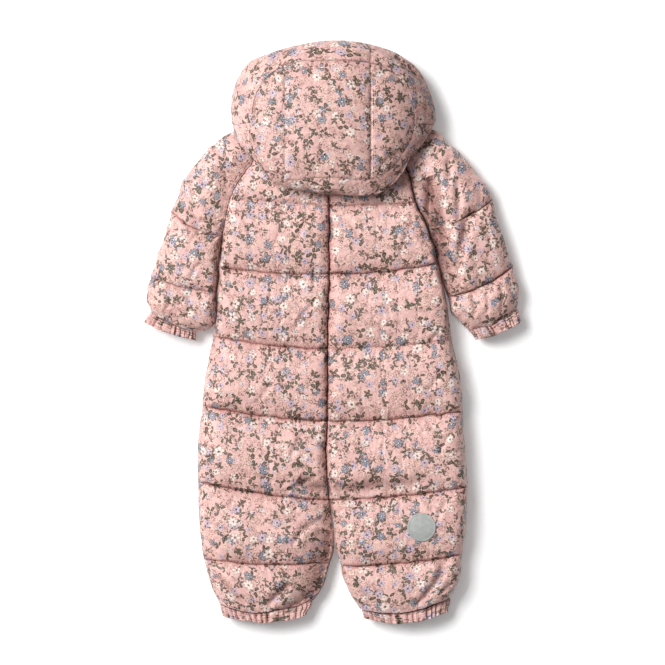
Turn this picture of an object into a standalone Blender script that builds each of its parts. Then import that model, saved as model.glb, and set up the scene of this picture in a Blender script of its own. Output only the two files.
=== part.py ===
"""A baby's padded snowsuit, laid flat on its front with the hood up.

+X runs to the wearer's right arm, +Y to the hood and +Z up from the surface it lies on, through the
back. The back panels lie on the front panels, with the zip between the two fronts. Tables and
dimensions are in millimetres, and each mesh is scaled to metres as it is made.
"""

import math

import bmesh
import bpy
from mathutils import Vector
from mathutils.bvhtree import BVHTree

MM = 0.001
SEAM_GAP = 0.3  # between two pieces along a seam
LEFT, RIGHT = -1, 1

# ---- body: padded back and front panels, torso and leg in one piece each ----
MID_Z = 20.0  # where the front and back layers meet
EDGE = 1.6  # thickness of a panel at its side seam
SIDE_ROUND = 42.0  # how far in from a free edge the padding reaches full loft
SEAM_ROUND = 20.0  # the same from a seam between two panels
SEAM_FLOOR = 0.5  # share of the loft left at a panel seam
QUILT_FLOOR = 0.5  # share of the loft left at a quilting line
FRONT_LOFT = 20.0  # depth of the front padding, down to the flat underside
FRONT_QUILT_FLOOR = 0.72
PRESS = 1.16  # the underside swells this much and is then pressed flat on the floor
ZIP_HALF = 9.0  # half the width of the slot that the zip fills
CROTCH_ROW = 10
ARMPIT_ROW = 3

# Even rows are quilting lines or seams, and odd rows are the crowns of the baffles between them.
# in = at the centre seam or inner leg, out = at the raglan seam, side seam or outer leg, sag = how
# far the row's middle lies towards the feet, slit = half the gap between the two layers.
BODY_COLUMNS = ("x_in", "y_in", "x_out", "y_out", "sag", "loft", "slit")
BODY_LEFT = (
    (-6, 211, -97, 261, 0, 13, 0.15),  # neckline
    (-6, 194, -121, 227, 0, 18, 0.15),
    (-6, 177, -144, 188, 0, 26, 0.15),  # quilting just under the hood
    (-6, 130, -155, 134, 0, 28, 0.15),  # armpit
    (-6, 82, -160, 92, 4, 28, 0.15),  # quilting across the chest
    (-7, 29, -163, 41, 2, 29, 0.15),
    (-8, -23, -169, -5, 4, 28, 0.15),  # quilting at the waist
    (-8, -74, -181, -55, 2, 29, 0.15),
    (-9, -124, -183, -102, 4, 28, 0.15),  # quilting at the hips
    (-10, -180, -189, -158, 2, 29, 0.15),
    (-5, -234, -189, -208, 5, 28, 0.15),  # quilting at the crotch
    (-2, -276, -188, -262, 0, 29, 0.15),
    (-10, -321, -181, -316, 6, 28, 0.15),  # quilting at the shin
    (-24, -350, -172, -352, 9, 25, 1.5),
    (-43, -376, -159, -380, 13, 14, 8.0),  # ankle, where the cuff is sewn on
)
BODY_RIGHT = (
    (-6, 211, 85, 258, 0, 13, 0.15),
    (-6, 194, 103, 227, 0, 18, 0.15),
    (-6, 177, 115, 181, 0, 26, 0.15),
    (-6, 130, 132, 144, 0, 28, 0.15),
    (-6, 82, 146, 96, 4, 28, 0.15),
    (-7, 29, 158, 43, 2, 29, 0.15),
    (-8, -23, 164, -10, 3, 28, 0.15),
    (-8, -74, 176, -61, 2, 29, 0.15),
    (-9, -124, 181, -110, 4, 28, 0.15),
    (-10, -180, 186, -164, 2, 29, 0.15),
    (-5, -234, 187, -216, 4, 28, 0.15),
    (2.4, -276, 186, -262, 0, 29, 0.15),
    (13, -327, 178, -310, 4, 28, 0.15),
    (26, -357, 170, -343, 9, 25, 1.5),
    (40, -386, 159, -370, 13, 14, 8.0),
)

# ---- sleeves: raglan tubes folded flat, each one piece with its seam under the arm ----
SLEEVE_FOLD = 9.0  # wall thickness at the outer fold
SLEEVE_DEPTH = 20.0
RAGLAN_ROWS = 2  # rows 0 to 2 take their inner edge from the body's raglan seam
SLEEVE_COLUMNS = ("x_in", "y_in", "x_out", "y_out", "sag", "loft", "slit")
SLEEVE_LEFT = (
    (-97, 261, -128, 284, 0, 13, 0.15),  # neck
    (-139, 200, -187, 240, 0, 22, 0.15),
    (-155, 134, -227, 169, 8, 26, 0.15),  # quilting at the armpit
    (-162, 96, -243, 121, 6, 27, 0.15),
    (-166, 58, -255, 79, 6, 26, 0.15),  # quilting below the elbow
    (-175, 27, -261, 50, 6, 24, 2.0),
    (-194, 2, -255, 30, 4, 13, 7.5),  # wrist, where the cuff is sewn on
)
SLEEVE_RIGHT = (
    (85, 258, 124, 284, 0, 13, 0.15),
    (112, 195, 178, 244, 0, 22, 0.15),
    (132, 144, 219, 184, 8, 26, 0.15),
    (148, 99, 237, 135, 6, 27, 0.15),
    (161, 51, 251, 93, 8, 26, 0.15),
    (172, 24, 260, 57, 6, 24, 2.0),
    (188, 2, 256, 30, 4, 13, 7.5),
)

# ---- cuffs: short elasticated tubes ----
CUFF_WALL = 4.5
CUFF_SIDES = 32
CUFF_GATHER = 1.0  # how far every second rib of the gathers stands out
# top = the seam with the sleeve or leg, hem = the free edge, half = half the cuff's height
CUFF_COLUMNS = ("x_in", "y_in", "x_out", "y_out", "sag", "half")
CUFFS = {
    "cuff_leg_left": ((-43, -376, -159, -380, 13, 14), (-47, -393, -154, -396, 10, 14.5)),
    "cuff_leg_right": ((40, -386, 159, -370, 13, 14), (46, -398, 157, -388, 12, 14.5)),
    "cuff_sleeve_left": ((-194, 2, -255, 30, 4, 13), (-201, -11, -263, 15, 3, 13.5)),
    "cuff_sleeve_right": ((188, 2, 256, 30, 4, 13), (199, -9, 261, 17, 3, 13.5)),
}

# ---- hood: a dome of three panels, a brim round the face and a band at the neck ----
HOOD_CENTRE = (0.0, 300.0)
HOOD_CROWN = 96.0
HOOD_WALL = 9.0
HOOD_GROOVE = 4.0  # how far a seam sinks below the padding
HOOD_ROLL = 15.0  # how far the edge turns in under the hood
HOOD_SEAMS_X = (-68.0, 52.0)  # the two seams beside the centre panel
BRIM_EDGE_Z = 0.0  # the brim rests on the floor
BRIM_ENDS = (-4.0, 184.0)  # degrees, where the brim meets the neck band
BAND_STEP = 0.0038  # share of the radius between a dome panel and the band sewn to it
# theta in degrees from +X, radius of the outline, equator = height of the widest line,
# seam = share of the radius where the brim or neck band begins
HOOD_COLUMNS = ("theta", "radius", "equator", "seam", "neck")  # neck = height of the neck band's lower edge
HOOD = (
    (-15, 131, 56, 0.86, 30.6),
    (0, 143, 40, 0.79, 29),
    (15, 140, 36, 0.78, 29),
    (30, 136, 35, 0.785, 29),
    (45, 127.5, 34, 0.785, 29),
    (60, 116.5, 34, 0.775, 29),
    (75, 110.5, 34, 0.745, 29),
    (90, 108, 34, 0.745, 29),
    (105, 111.5, 34, 0.742, 29),
    (120, 119, 34, 0.756, 29),
    (135, 129, 34, 0.76, 29),
    (150, 143, 35, 0.75, 29),
    (165, 145, 36, 0.77, 29),
    (180, 142.5, 40, 0.79, 29),
    (195, 138.5, 56, 0.86, 31.2),
    (210, 125.5, 64, 0.93, 33),
    (225, 123, 67, 0.93, 36.8),
    (240, 115, 68, 0.88, 37.2),
    (255, 108, 69, 0.82, 35.2),
    (270, 107.5, 70, 0.79, 33.2),
    (285, 113, 69, 0.8, 39),
    (300, 123, 68, 0.82, 40.2),
    (315, 125, 67, 0.86, 39.5),
    (330, 122.5, 64, 0.89, 33),
    (345, 131, 56, 0.86, 30.6),
    (360, 143, 40, 0.79, 29),
    (375, 140, 36, 0.78, 29),
)

# ---- zip between the two fronts ----
ZIP_TOP = 196.0
ZIP_BOTTOM = -198.0
TAPE_Z = (13.0, 14.2)
TAPE_HALF = 8.5
TAPE_NOTCH = (1.6, 9.0)  # half width and depth of the split above the slider
COIL_Z = (11.0, 12.7)
COIL_HALF = 2.4
SLIDER_LENGTH = 12.0
SLIDER_HALF = 4.2
SLIDER_PLATE = 1.4
SLIDER_CLEAR = 0.4  # between the slider and the coil or tape in it
PULL_PIVOT = (184.0, 6.6)  # y and z of the pull's hinge line
PULL_HALF = 2.9
PULL_LENGTH = 23.0
PULL_EYE = (1.5, 4.4)  # half width and length of the hole in the pull
PULL_BAR = 0.6  # half the thickness of the bar that the pull turns on
PULL_LEAN = 14.5  # degrees below level, so that the tab's end hangs just above the floor

# ---- reflective patch on the right leg ----
PATCH_CENTRE = (123.0, -272.0)
PATCH_RADIUS = 20.0
PATCH_THICK = 0.8
PATCH_LIFT = 0.9

PINK = (0.72, 0.39, 0.35)
ACROSS = (0.0, 0.12, 0.31, 0.5, 0.69, 0.88, 1.0)
ALONG = (0.0, 0.06, 0.16, 0.28, 0.4, 0.5, 0.6, 0.72, 0.84, 0.94, 1.0)
BAFFLE_STEPS = (0.0, 0.16, 0.5, 0.84)
FRONT_STEPS = (0.0, 0.2, 0.84)


def clear_scene():
    for obj in list(bpy.data.objects):
        bpy.data.objects.remove(obj, do_unlink=True)


def material(name, colour, roughness=0.6, metallic=0.0):
    made = bpy.data.materials.new(name)
    made.use_nodes = True
    shader = made.node_tree.nodes["Principled BSDF"]
    shader.inputs["Base Color"].default_value = (*colour, 1.0)
    shader.inputs["Roughness"].default_value = roughness
    shader.inputs["Metallic"].default_value = metallic
    return made


def column(table, columns, name):
    return [row[columns.index(name)] for row in table]


def smooth_at(values, v):
    """A curve through the values at 0, 1, 2..., which never overshoots them."""
    last = len(values) - 1
    i = min(max(int(v), 0), last - 1)
    steps = [values[k + 1] - values[k] for k in range(last)]

    def slope(k):
        if k == 0 or k == last:
            return steps[min(k, last - 1)]
        before, after = steps[k - 1], steps[k]
        return 0.0 if before * after <= 0 else 2 * before * after / (before + after)

    t = v - i
    rise = (3 - 2 * t) * t * t
    bend_start = t * (1 - t) ** 2
    bend_end = t * t * (t - 1)
    return values[i] + rise * steps[i] + bend_start * slope(i) + bend_end * slope(i + 1)


def read_row(table, columns, v):
    return {name: smooth_at(column(table, columns, name), v) for name in columns}


def row_samples(table, steps):
    """Row positions: each baffle spans two rows, and steps says where it is cut.

    The two baffles beside the raglan seam are cut alike in every panel, so that edges run parallel.
    """
    baffles = (len(table) - 1) // 2
    cuts = [BAFFLE_STEPS if b < 2 else steps for b in range(baffles)]
    return [2 * (b + s) for b in range(baffles) for s in cuts[b]] + [len(table) - 1.0]


def sleeve_samples(table):
    """The body's rows down to the armpit, and then the sleeve's own baffles."""
    beside = [v for v in row_samples(BODY_LEFT, BAFFLE_STEPS) if v < ARMPIT_ROW]
    below = [v for v in row_samples(table, BAFFLE_STEPS) if v >= RAGLAN_ROWS]
    return [v * RAGLAN_ROWS / ARMPIT_ROW for v in beside] + below


def rounding(distance, reach):
    """0 at an edge, rising to 1 at reach along a quarter of an ellipse."""
    left = 1 - min(max(distance / reach, 0.0), 1.0)
    return math.sqrt(1 - left * left)


def puff(v, floor):
    """The share of the loft along a panel: floor at each quilting line, 1 at each crown."""
    across = abs(v / 2 - math.floor(v / 2 + 1e-9) - 0.5) * 2
    return floor + (1 - floor) * (1 - across**2.6)


def ramp(v, start, end):
    return min(max((v - start) / (end - start), 0.0), 1.0)


def shell(name, outer, inner, colour, ring=False, roughness=0.6, metallic=0.0):
    """A closed wall between two grids of points; ring joins each row's last point to its first."""
    mesh = bmesh.new()
    rows, cols = len(outer), len(outer[0])
    top = [[mesh.verts.new(Vector(p) * MM) for p in row] for row in outer]
    low = [[mesh.verts.new(Vector(p) * MM) for p in row] for row in inner]
    spans = cols if ring else cols - 1
    for i in range(rows - 1):
        for j in range(spans):
            k = (j + 1) % cols
            mesh.faces.new((top[i][j], top[i][k], top[i + 1][k], top[i + 1][j]))
            mesh.faces.new((low[i][j], low[i + 1][j], low[i + 1][k], low[i][k]))
    for i in (0, rows - 1):
        for j in range(spans):
            k = (j + 1) % cols
            mesh.faces.new((top[i][j], low[i][j], low[i][k], top[i][k]))
    if not ring:
        for j in (0, cols - 1):
            for i in range(rows - 1):
                mesh.faces.new((top[i][j], top[i + 1][j], low[i + 1][j], low[i][j]))
    return finish(name, mesh, colour, roughness, metallic)


def finish(name, mesh, colour, roughness=0.6, metallic=0.0):
    bmesh.ops.remove_doubles(mesh, verts=mesh.verts, dist=1e-6)
    bmesh.ops.recalc_face_normals(mesh, faces=mesh.faces)
    data = bpy.data.meshes.new(name)
    mesh.to_mesh(data)
    mesh.free()
    data.shade_smooth()
    data.set_sharp_from_angle(angle=math.radians(50))
    obj = bpy.data.objects.new(name, data)
    data.materials.append(material(name, colour, roughness, metallic))
    bpy.context.scene.collection.objects.link(obj)
    return obj


def box(mesh, low, high):
    made = bmesh.ops.create_cube(mesh, size=1.0)["verts"]
    for vert in made:
        share = [vert.co[axis] + 0.5 for axis in range(3)]
        place = [low[axis] + share[axis] * (high[axis] - low[axis]) for axis in range(3)]
        vert.co = Vector(place) * MM


def prism(name, outline, low, high, place, colour, roughness=0.35, metallic=0.9):
    """The outline pulled from low to high; place turns (a, b, height) into (x, y, z)."""
    mesh = bmesh.new()
    start = [mesh.verts.new(Vector(place(a, b, low)) * MM) for a, b in outline]
    end = [mesh.verts.new(Vector(place(a, b, high)) * MM) for a, b in outline]
    count = len(outline)
    for i in range(count):
        k = (i + 1) % count
        mesh.faces.new((start[i], start[k], end[k], end[i]))
    mesh.faces.new(start)
    mesh.faces.new(end[::-1])
    return finish(name, mesh, colour, roughness, metallic)


# ---- body panels ----
def panel_point(table, side, v, share, front):
    """Plan position on a panel, and its distances from the centre and outer edges."""
    row = read_row(table, BODY_COLUMNS, v)
    if v < CROTCH_ROW:
        row["x_in"] = smooth_at(column(BODY_LEFT, BODY_COLUMNS, "x_in")[: CROTCH_ROW + 1], v)
    joined = 1 - ramp(v, CROTCH_ROW - 0.32, CROTCH_ROW)
    gap = SEAM_GAP / 2
    x_in = row["x_in"] + side * (gap + (ZIP_HALF - gap) * joined * front)
    x_out = row["x_out"] - side * gap
    x = x_in + share * (x_out - x_in)
    y = row["y_in"] + share * (row["y_out"] - row["y_in"])
    y -= row["sag"] * 4 * share * (1 - share)
    width = abs(x_out - x_in)
    return x, y, width * share, width * (1 - share), row


def panel_loft(v, from_in, from_out, loft, quilt_floor):
    """Padding at a point: full at a crown, less at the quilting, seams and free edges."""
    centre_free = ramp(v, CROTCH_ROW - 0.6, CROTCH_ROW + 0.6)
    side_free = ramp(v, ARMPIT_ROW - 0.4, ARMPIT_ROW + 0.3)
    near_in = SEAM_FLOOR + (1 - SEAM_FLOOR) * rounding(from_in, SEAM_ROUND)
    near_out = SEAM_FLOOR + (1 - SEAM_FLOOR) * rounding(from_out, SEAM_ROUND)
    edge_in = near_in + centre_free * (rounding(from_in, SIDE_ROUND) - near_in)
    edge_out = near_out + side_free * (rounding(from_out, SIDE_ROUND) - near_out)
    return EDGE + (loft - EDGE) * edge_in * edge_out * puff(v, quilt_floor)


def body_panel(name, table, side, front, steps, shares):
    outer, inner = [], []
    facing = -1 if front else 1
    for v in row_samples(table, steps):
        outer_row, inner_row = [], []
        for share in shares:
            x, y, from_in, from_out, row = panel_point(table, side, v, share, front)
            full = min(FRONT_LOFT, row["loft"] * 1.6) if front else row["loft"]
            floor = FRONT_QUILT_FLOOR if front else QUILT_FLOOR
            loft = panel_loft(v, from_in, from_out, full, floor)
            slit = row["slit"] * min(rounding(from_in, 30), rounding(from_out, 30))
            slit = max(slit, SEAM_GAP / 2)
            z = MID_Z - min(loft * PRESS, full) if front else MID_Z + loft + slit
            outer_row.append((x, y, z))
            inner_row.append((x, y, MID_Z + facing * slit))
        outer.append(outer_row)
        inner.append(inner_row)
    return shell(name, outer, inner, PINK)


# ---- sleeves ----
def sleeve_edge(table, body, side, v):
    """The sleeve's row at v, its inner end on the raglan seam down to the armpit."""
    row = read_row(table, SLEEVE_COLUMNS, v)
    if v <= RAGLAN_ROWS:
        on_body = read_row(body, BODY_COLUMNS, v * ARMPIT_ROW / RAGLAN_ROWS)
        row["x_in"], row["y_in"] = on_body["x_out"], on_body["y_out"]
    row["x_in"] += side * 2 * SEAM_GAP
    row["y_in"] += SEAM_GAP * (1 - ramp(v, RAGLAN_ROWS, RAGLAN_ROWS + 1))
    return row


def sleeve(name, table, body, side, top_shares, under_shares):
    """One piece: across the back, round the outer fold and back under, to the underarm seam."""
    outer, inner = [], []
    for v in sleeve_samples(table):
        row = sleeve_edge(table, body, side, v)
        run = Vector((row["x_out"] - row["x_in"], row["y_out"] - row["y_in"]))
        width = run.length
        free = ramp(v, RAGLAN_ROWS - 0.3, RAGLAN_ROWS + 0.2)
        loops = []
        for facing, shares in ((1, top_shares), (-1, under_shares)):
            full = row["loft"] if facing > 0 else min(SLEEVE_DEPTH, row["loft"] * 1.5)
            floor = QUILT_FLOOR if facing > 0 else FRONT_QUILT_FLOOR
            for share in shares:
                x = row["x_in"] + share * run.x
                y = row["y_in"] + share * run.y - row["sag"] * 4 * share * (1 - share)
                joined = SEAM_FLOOR + (1 - SEAM_FLOOR) * rounding(width * share, SEAM_ROUND)
                inside = joined + free * (rounding(width * share, SIDE_ROUND * 0.8) - joined)
                outside = rounding(width * (1 - share), min(SIDE_ROUND, width * 0.42))
                slit = row["slit"] * rounding(width * share, 15) * rounding(width * (1 - share), 15)
                slit = max(slit, SEAM_GAP / 2)
                rise = ((full - EDGE) * inside * puff(v, floor) + EDGE) * outside
                shell_z = MID_Z + rise if facing > 0 else MID_Z - min(rise * PRESS, full)
                hollow_share = share * (1 - SLEEVE_FOLD / width)
                hollow_x = row["x_in"] + hollow_share * run.x
                hollow_y = row["y_in"] + hollow_share * run.y
                hollow_y -= row["sag"] * 4 * hollow_share * (1 - hollow_share)
                hollow_z = MID_Z + facing * slit * (0 if share == 1 else 1)
                loops.append(((x, y, shell_z), (hollow_x, hollow_y, hollow_z)))
        outer.append([pair[0] for pair in loops])
        inner.append([pair[1] for pair in loops])
    return shell(name, outer, inner, PINK)


# ---- cuffs ----
def cuff(name, rows):
    """A flattened ring between the seam and the hem, ribbed by its gathers."""
    stations = (
        (0.012, 0.0),
        (0.5, 1.0),
        (1.0, 0.6),
    )
    table = (rows[0], rows[1])
    outer, inner = [], []
    for along, ribbed in stations:
        row = {n: a + along * (b - a) for n, a, b in zip(CUFF_COLUMNS, *table)}
        centre = Vector(((row["x_in"] + row["x_out"]) / 2, (row["y_in"] + row["y_out"]) / 2))
        half = Vector((row["x_out"] - row["x_in"], row["y_out"] - row["y_in"])) / 2
        rings = ([], [])
        for k in range(CUFF_SIDES):
            turn = 2 * math.pi * k / CUFF_SIDES
            rib = CUFF_GATHER * ribbed * (k % 2)
            for ring, inset in zip(rings, (rib, rib + CUFF_WALL)):
                across = math.cos(turn) * (1 - inset / half.length)
                flat = math.copysign(abs(math.sin(turn)) ** 0.75, math.sin(turn))
                x = centre.x + across * half.x
                y = centre.y + across * half.y - row["sag"] * (1 - across * across)
                y -= SEAM_GAP * (1 - along)
                ring.append((x, y, MID_Z + flat * (row["half"] - inset)))
        outer.append(rings[0])
        inner.append(rings[1])
    return shell(name, outer, inner, PINK, ring=True)


# ---- hood ----
def hood_row(theta):
    """The hood table at an angle in degrees."""
    angles = column(HOOD, HOOD_COLUMNS, "theta")
    position = (theta - angles[0]) % 360 / 15
    return {name: smooth_at(column(HOOD, HOOD_COLUMNS, name), position) for name in HOOD_COLUMNS}


def hood_fall(theta):
    """How the dome falls to its edge: 0.85 is round, and more slopes away sooner, as on the wearer's right."""
    return 0.85 + 0.9 * max(math.cos(math.radians(theta + 8)), 0.0) ** 1.2


def hood_point(theta, arc, inset, edge_z):
    """arc: 0 at the crown, 1 at the widest line, 2 at the edge turned under; inset is into the wall."""
    row = hood_row(theta)
    radius = row["radius"] - inset
    rise = HOOD_CROWN - inset - row["equator"]
    if arc <= 1:
        reach = radius * math.sin(arc * math.pi / 2)
        z = row["equator"] + rise * max(math.cos(arc * math.pi / 2), 0.0) ** hood_fall(theta)
    else:
        under = (arc - 1) * math.pi / 2
        reach = radius - HOOD_ROLL * (1 - math.cos(under))
        z = row["equator"] - (row["equator"] - edge_z) * math.sin(under)
    turn = math.radians(theta)
    return (HOOD_CENTRE[0] + reach * math.cos(turn), HOOD_CENTRE[1] + reach * math.sin(turn), z)


def hood_plan_point(x, y, inset):
    """The dome above or below a plan position."""
    dx, dy = x - HOOD_CENTRE[0], y - HOOD_CENTRE[1]
    theta = math.degrees(math.atan2(dy, dx))
    share = min(math.hypot(dx, dy) / hood_row(theta)["radius"], 1.0)
    return hood_point(theta, math.asin(share) / (math.pi / 2), inset, 0.0)


def seam_reach(theta):
    row = hood_row(theta)
    return row["seam"] * row["radius"] - SEAM_GAP / 2


def seam_corner(x, upper):
    """Where a line of constant x crosses the brim seam (upper) or the neck seam."""
    low, high = (0.0, 180.0) if upper else (0.0, -180.0)
    for _ in range(40):
        middle = (low + high) / 2
        at = HOOD_CENTRE[0] + seam_reach(middle) * math.cos(math.radians(middle))
        low, high = (middle, high) if at > x else (low, middle)
    return middle


def seam_point(theta):
    turn = math.radians(theta)
    reach = seam_reach(theta)
    return HOOD_CENTRE[0] + reach * math.cos(turn), HOOD_CENTRE[1] + reach * math.sin(turn)


def pillow(a, b):
    """0 along the border of a panel and 1 over most of its middle."""
    return (1 - abs(2 * a - 1) ** 5) * (1 - abs(2 * b - 1) ** 5)


def dome_panel(name, plan):
    """plan(a, b) gives the plan position of the panel's unit square."""
    outer, inner = [], []
    for b in ALONG:
        sunk = [HOOD_GROOVE * (1 - pillow(a, b)) for a in ACROSS]
        outer.append([hood_plan_point(*plan(a, b), s) for a, s in zip(ACROSS, sunk)])
        inner.append([hood_plan_point(*plan(a, b), HOOD_WALL) for a in ACROSS])
    return shell(name, outer, inner, PINK)


def centre_plan(a, b):
    low_x, high_x = HOOD_SEAMS_X[0] + SEAM_GAP / 2, HOOD_SEAMS_X[1] - SEAM_GAP / 2
    x = low_x + a * (high_x - low_x)
    low_y = seam_point(seam_corner(x, False))[1]
    high_y = seam_point(seam_corner(x, True))[1]
    return x, low_y + b * (high_y - low_y)


def side_seam_x(side):
    return HOOD_SEAMS_X[0] - SEAM_GAP / 2 if side == LEFT else HOOD_SEAMS_X[1] + SEAM_GAP / 2


def rim_ends(side):
    """The angles where a side panel's rim starts at the neck and ends at the brim."""
    x = side_seam_x(side)
    return seam_corner(x, False) + (360 if side == LEFT else 0), seam_corner(x, True)


def side_plan(side):
    x = side_seam_x(side)
    low, high = rim_ends(side)

    def plan(a, b):
        seam_y = seam_point(low)[1] + b * (seam_point(high)[1] - seam_point(low)[1])
        rim_x, rim_y = seam_point(low + b * (high - low))
        return x + a * (rim_x - x), seam_y + a * (rim_y - seam_y)

    return plan


def band_angles(start, end):
    """The angles of every corner along the dome panels' rims, so that the seams run parallel."""
    angles = []
    for a in ACROSS:
        angles += [seam_corner(centre_plan(a, 0)[0], upper) for upper in (True, False)]
    for side in (LEFT, RIGHT):
        low, high = rim_ends(side)
        angles += [low + b * (high - low) for b in ALONG]
    turned = sorted({round((angle - start) % 360, 3) for angle in angles})
    return [start] + [start + a for a in turned if 0.5 < a < end - start - 0.5] + [end]


def hood_band(name, start, end, arcs):
    """Brim or neck band: from the seam round the dome, over the widest line and under."""
    outer, inner = [], []
    for theta in band_angles(start, end):
        first = math.asin(hood_row(theta)["seam"] + BAND_STEP) / (math.pi / 2)
        edge_z = BRIM_EDGE_Z if name == "hood_brim" else hood_row(theta)["neck"]
        outer_row, inner_row = [], []
        for share in arcs:
            arc = first + share * (2 - first)
            sunk = HOOD_GROOVE * (1 - pillow(0.5, min(share, 0.5))) if share < 0.5 else 0.0
            outer_row.append(hood_point(theta, arc, sunk, edge_z))
            inner_row.append(hood_point(theta, arc, HOOD_WALL, edge_z))
        outer.append(outer_row)
        inner.append(inner_row)
    return shell(name, outer, inner, PINK)


# ---- zip ----
def zip_x(y):
    """The centre line, which leans a little across the suit."""
    rows = [read_row(BODY_LEFT, BODY_COLUMNS, v) for v in row_samples(BODY_LEFT, FRONT_STEPS)]
    ys = [row["y_in"] for row in rows]
    xs = [row["x_in"] for row in rows]
    for i in range(len(ys) - 1):
        if ys[i] >= y >= ys[i + 1]:
            return xs[i] + (xs[i + 1] - xs[i]) * (y - ys[i]) / (ys[i + 1] - ys[i])
    return xs[0]


def flat_on(a, b, h):
    """A prism's outline drawn in plan, its height upwards."""
    return a, b, h


def zip_strip(name, half, low, high, top, notch, colour):
    rows = 14
    ys = [top + (ZIP_BOTTOM - top) * i / rows for i in range(rows + 1)]
    right = [(zip_x(y) + half, y) for y in ys]
    left = [(zip_x(y) - half, y) for y in reversed(ys)]
    split = []
    if notch:
        wide, deep = notch
        x = zip_x(top)
        split = [(x - wide, top), (x - wide, top - deep), (x + wide, top - deep), (x + wide, top)]
    return prism(name, right + left + split, low, high, flat_on, colour, 0.6, 0.0)


def zip_slider():
    """Two plates with the coil between them, a post in the split of the tape, and the pull's bridge."""
    x = zip_x(PULL_PIVOT[0])
    y, z = PULL_PIVOT
    face = COIL_Z[0] - SLIDER_CLEAR
    back = TAPE_Z[1] + SLIDER_CLEAR
    start, end = y - SLIDER_LENGTH / 2, y + SLIDER_LENGTH / 2
    post = end - 1.8
    profile = (
        (start, face - SLIDER_PLATE),
        (end, face - SLIDER_PLATE),
        (end, back + SLIDER_PLATE),
        (start, back + SLIDER_PLATE),
        (start, back),
        (post, back),
        (post, face),
        (start, face),
    )

    def place(a, b, h):
        return x + h, a, b

    body = prism("zip_slider", profile, -TAPE_NOTCH[0] + 0.5, TAPE_NOTCH[0] - 0.5, place, (0.6, 0.6, 0.6))
    mesh = bmesh.new()
    for low, high in ((face - SLIDER_PLATE, face), (back, back + SLIDER_PLATE)):
        box(mesh, (x - SLIDER_HALF, start + 0.5, low), (x + SLIDER_HALF, post, high))
    strap = 1.2
    window = (y - 1.2, y + 2.8)
    roof = z - PULL_BAR - 0.5
    foot = face - SLIDER_PLATE + 0.2
    box(mesh, (x - 0.8, window[0] - strap, roof - strap), (x + 0.8, window[1] + strap, roof))
    box(mesh, (x - 0.8, window[0] - strap, roof - 0.2), (x + 0.8, window[0], foot))
    box(mesh, (x - 0.8, window[1], roof - 0.2), (x + 0.8, window[1] + strap, foot))
    extra = finish("zip_slider_plates", mesh, (0.6, 0.6, 0.6))
    extra.hide_render = True
    extra.display_type = "WIRE"
    join = body.modifiers.new("plates", "BOOLEAN")
    join.operation = "UNION"
    join.object = extra
    join.use_self = True


def zip_pull():
    """A flat tab on its cross bar, lying towards the feet in the slot between the fronts."""
    x = zip_x(PULL_PIVOT[0])
    y, z = PULL_PIVOT
    eye_half, eye_length = PULL_EYE
    tab = (
        (PULL_HALF, PULL_BAR),
        (PULL_HALF, -PULL_LENGTH + 2),
        (PULL_HALF - 1.4, -PULL_LENGTH),
        (1.4 - PULL_HALF, -PULL_LENGTH),
        (-PULL_HALF, -PULL_LENGTH + 2),
        (-PULL_HALF, PULL_BAR),
    )
    eye = (
        (eye_half, -PULL_BAR),
        (eye_half, -PULL_BAR - eye_length),
        (-eye_half, -PULL_BAR - eye_length),
        (-eye_half, -PULL_BAR),
    )
    pull = prism("zip_pull", tab, -PULL_BAR, PULL_BAR, flat_on, (0.6, 0.6, 0.6))
    hole = prism("zip_pull_eye", eye, -2.0, 2.0, flat_on, (0.6, 0.6, 0.6))
    hole.hide_render = True
    hole.display_type = "WIRE"
    hinge = bpy.data.objects.new("zip_pull_hinge", None)
    bpy.context.scene.collection.objects.link(hinge)
    hinge.location = Vector((x, y, z)) * MM
    pull.parent = hinge
    hole.parent = hinge
    hinge.rotation_euler.x = math.radians(PULL_LEAN)
    cut = pull.modifiers.new("eye", "BOOLEAN")
    cut.operation = "DIFFERENCE"
    cut.object = hole


def reflective_patch(panel):
    """A disc that follows the leg's surface just above it."""
    panel.data.calc_loop_triangles()
    faces = [tuple(t.vertices) for t in panel.data.loop_triangles]
    tree = BVHTree.FromPolygons([v.co for v in panel.data.vertices], faces)
    down = Vector((0, 0, -1))

    def height(x, y):
        return tree.ray_cast(Vector((x, y, 200)) * MM, down)[0].z / MM

    outer, inner = [], []
    for share in (0.02, 0.35, 0.7, 1.0):
        outer_row, inner_row = [], []
        for k in range(24):
            turn = 2 * math.pi * k / 24
            x = PATCH_CENTRE[0] + PATCH_RADIUS * share * math.cos(turn)
            y = PATCH_CENTRE[1] + PATCH_RADIUS * share * math.sin(turn)
            z = height(x, y) + PATCH_LIFT
            outer_row.append((x, y, z + PATCH_THICK))
            inner_row.append((x, y, z))
        outer.append(outer_row)
        inner.append(inner_row)
    mesh = bmesh.new()
    top = [[mesh.verts.new(Vector(p) * MM) for p in row] for row in outer]
    low = [[mesh.verts.new(Vector(p) * MM) for p in row] for row in inner]
    for i in range(3):
        for j in range(24):
            k = (j + 1) % 24
            mesh.faces.new((top[i][j], top[i][k], top[i + 1][k], top[i + 1][j]))
            mesh.faces.new((low[i][j], low[i + 1][j], low[i + 1][k], low[i][k]))
    for j in range(24):
        k = (j + 1) % 24
        mesh.faces.new((top[3][j], low[3][j], low[3][k], top[3][k]))
    mesh.faces.new(top[0])
    mesh.faces.new(low[0][::-1])
    return finish("reflective_patch", mesh, (0.45, 0.48, 0.47), 0.3, 0.5)


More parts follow.
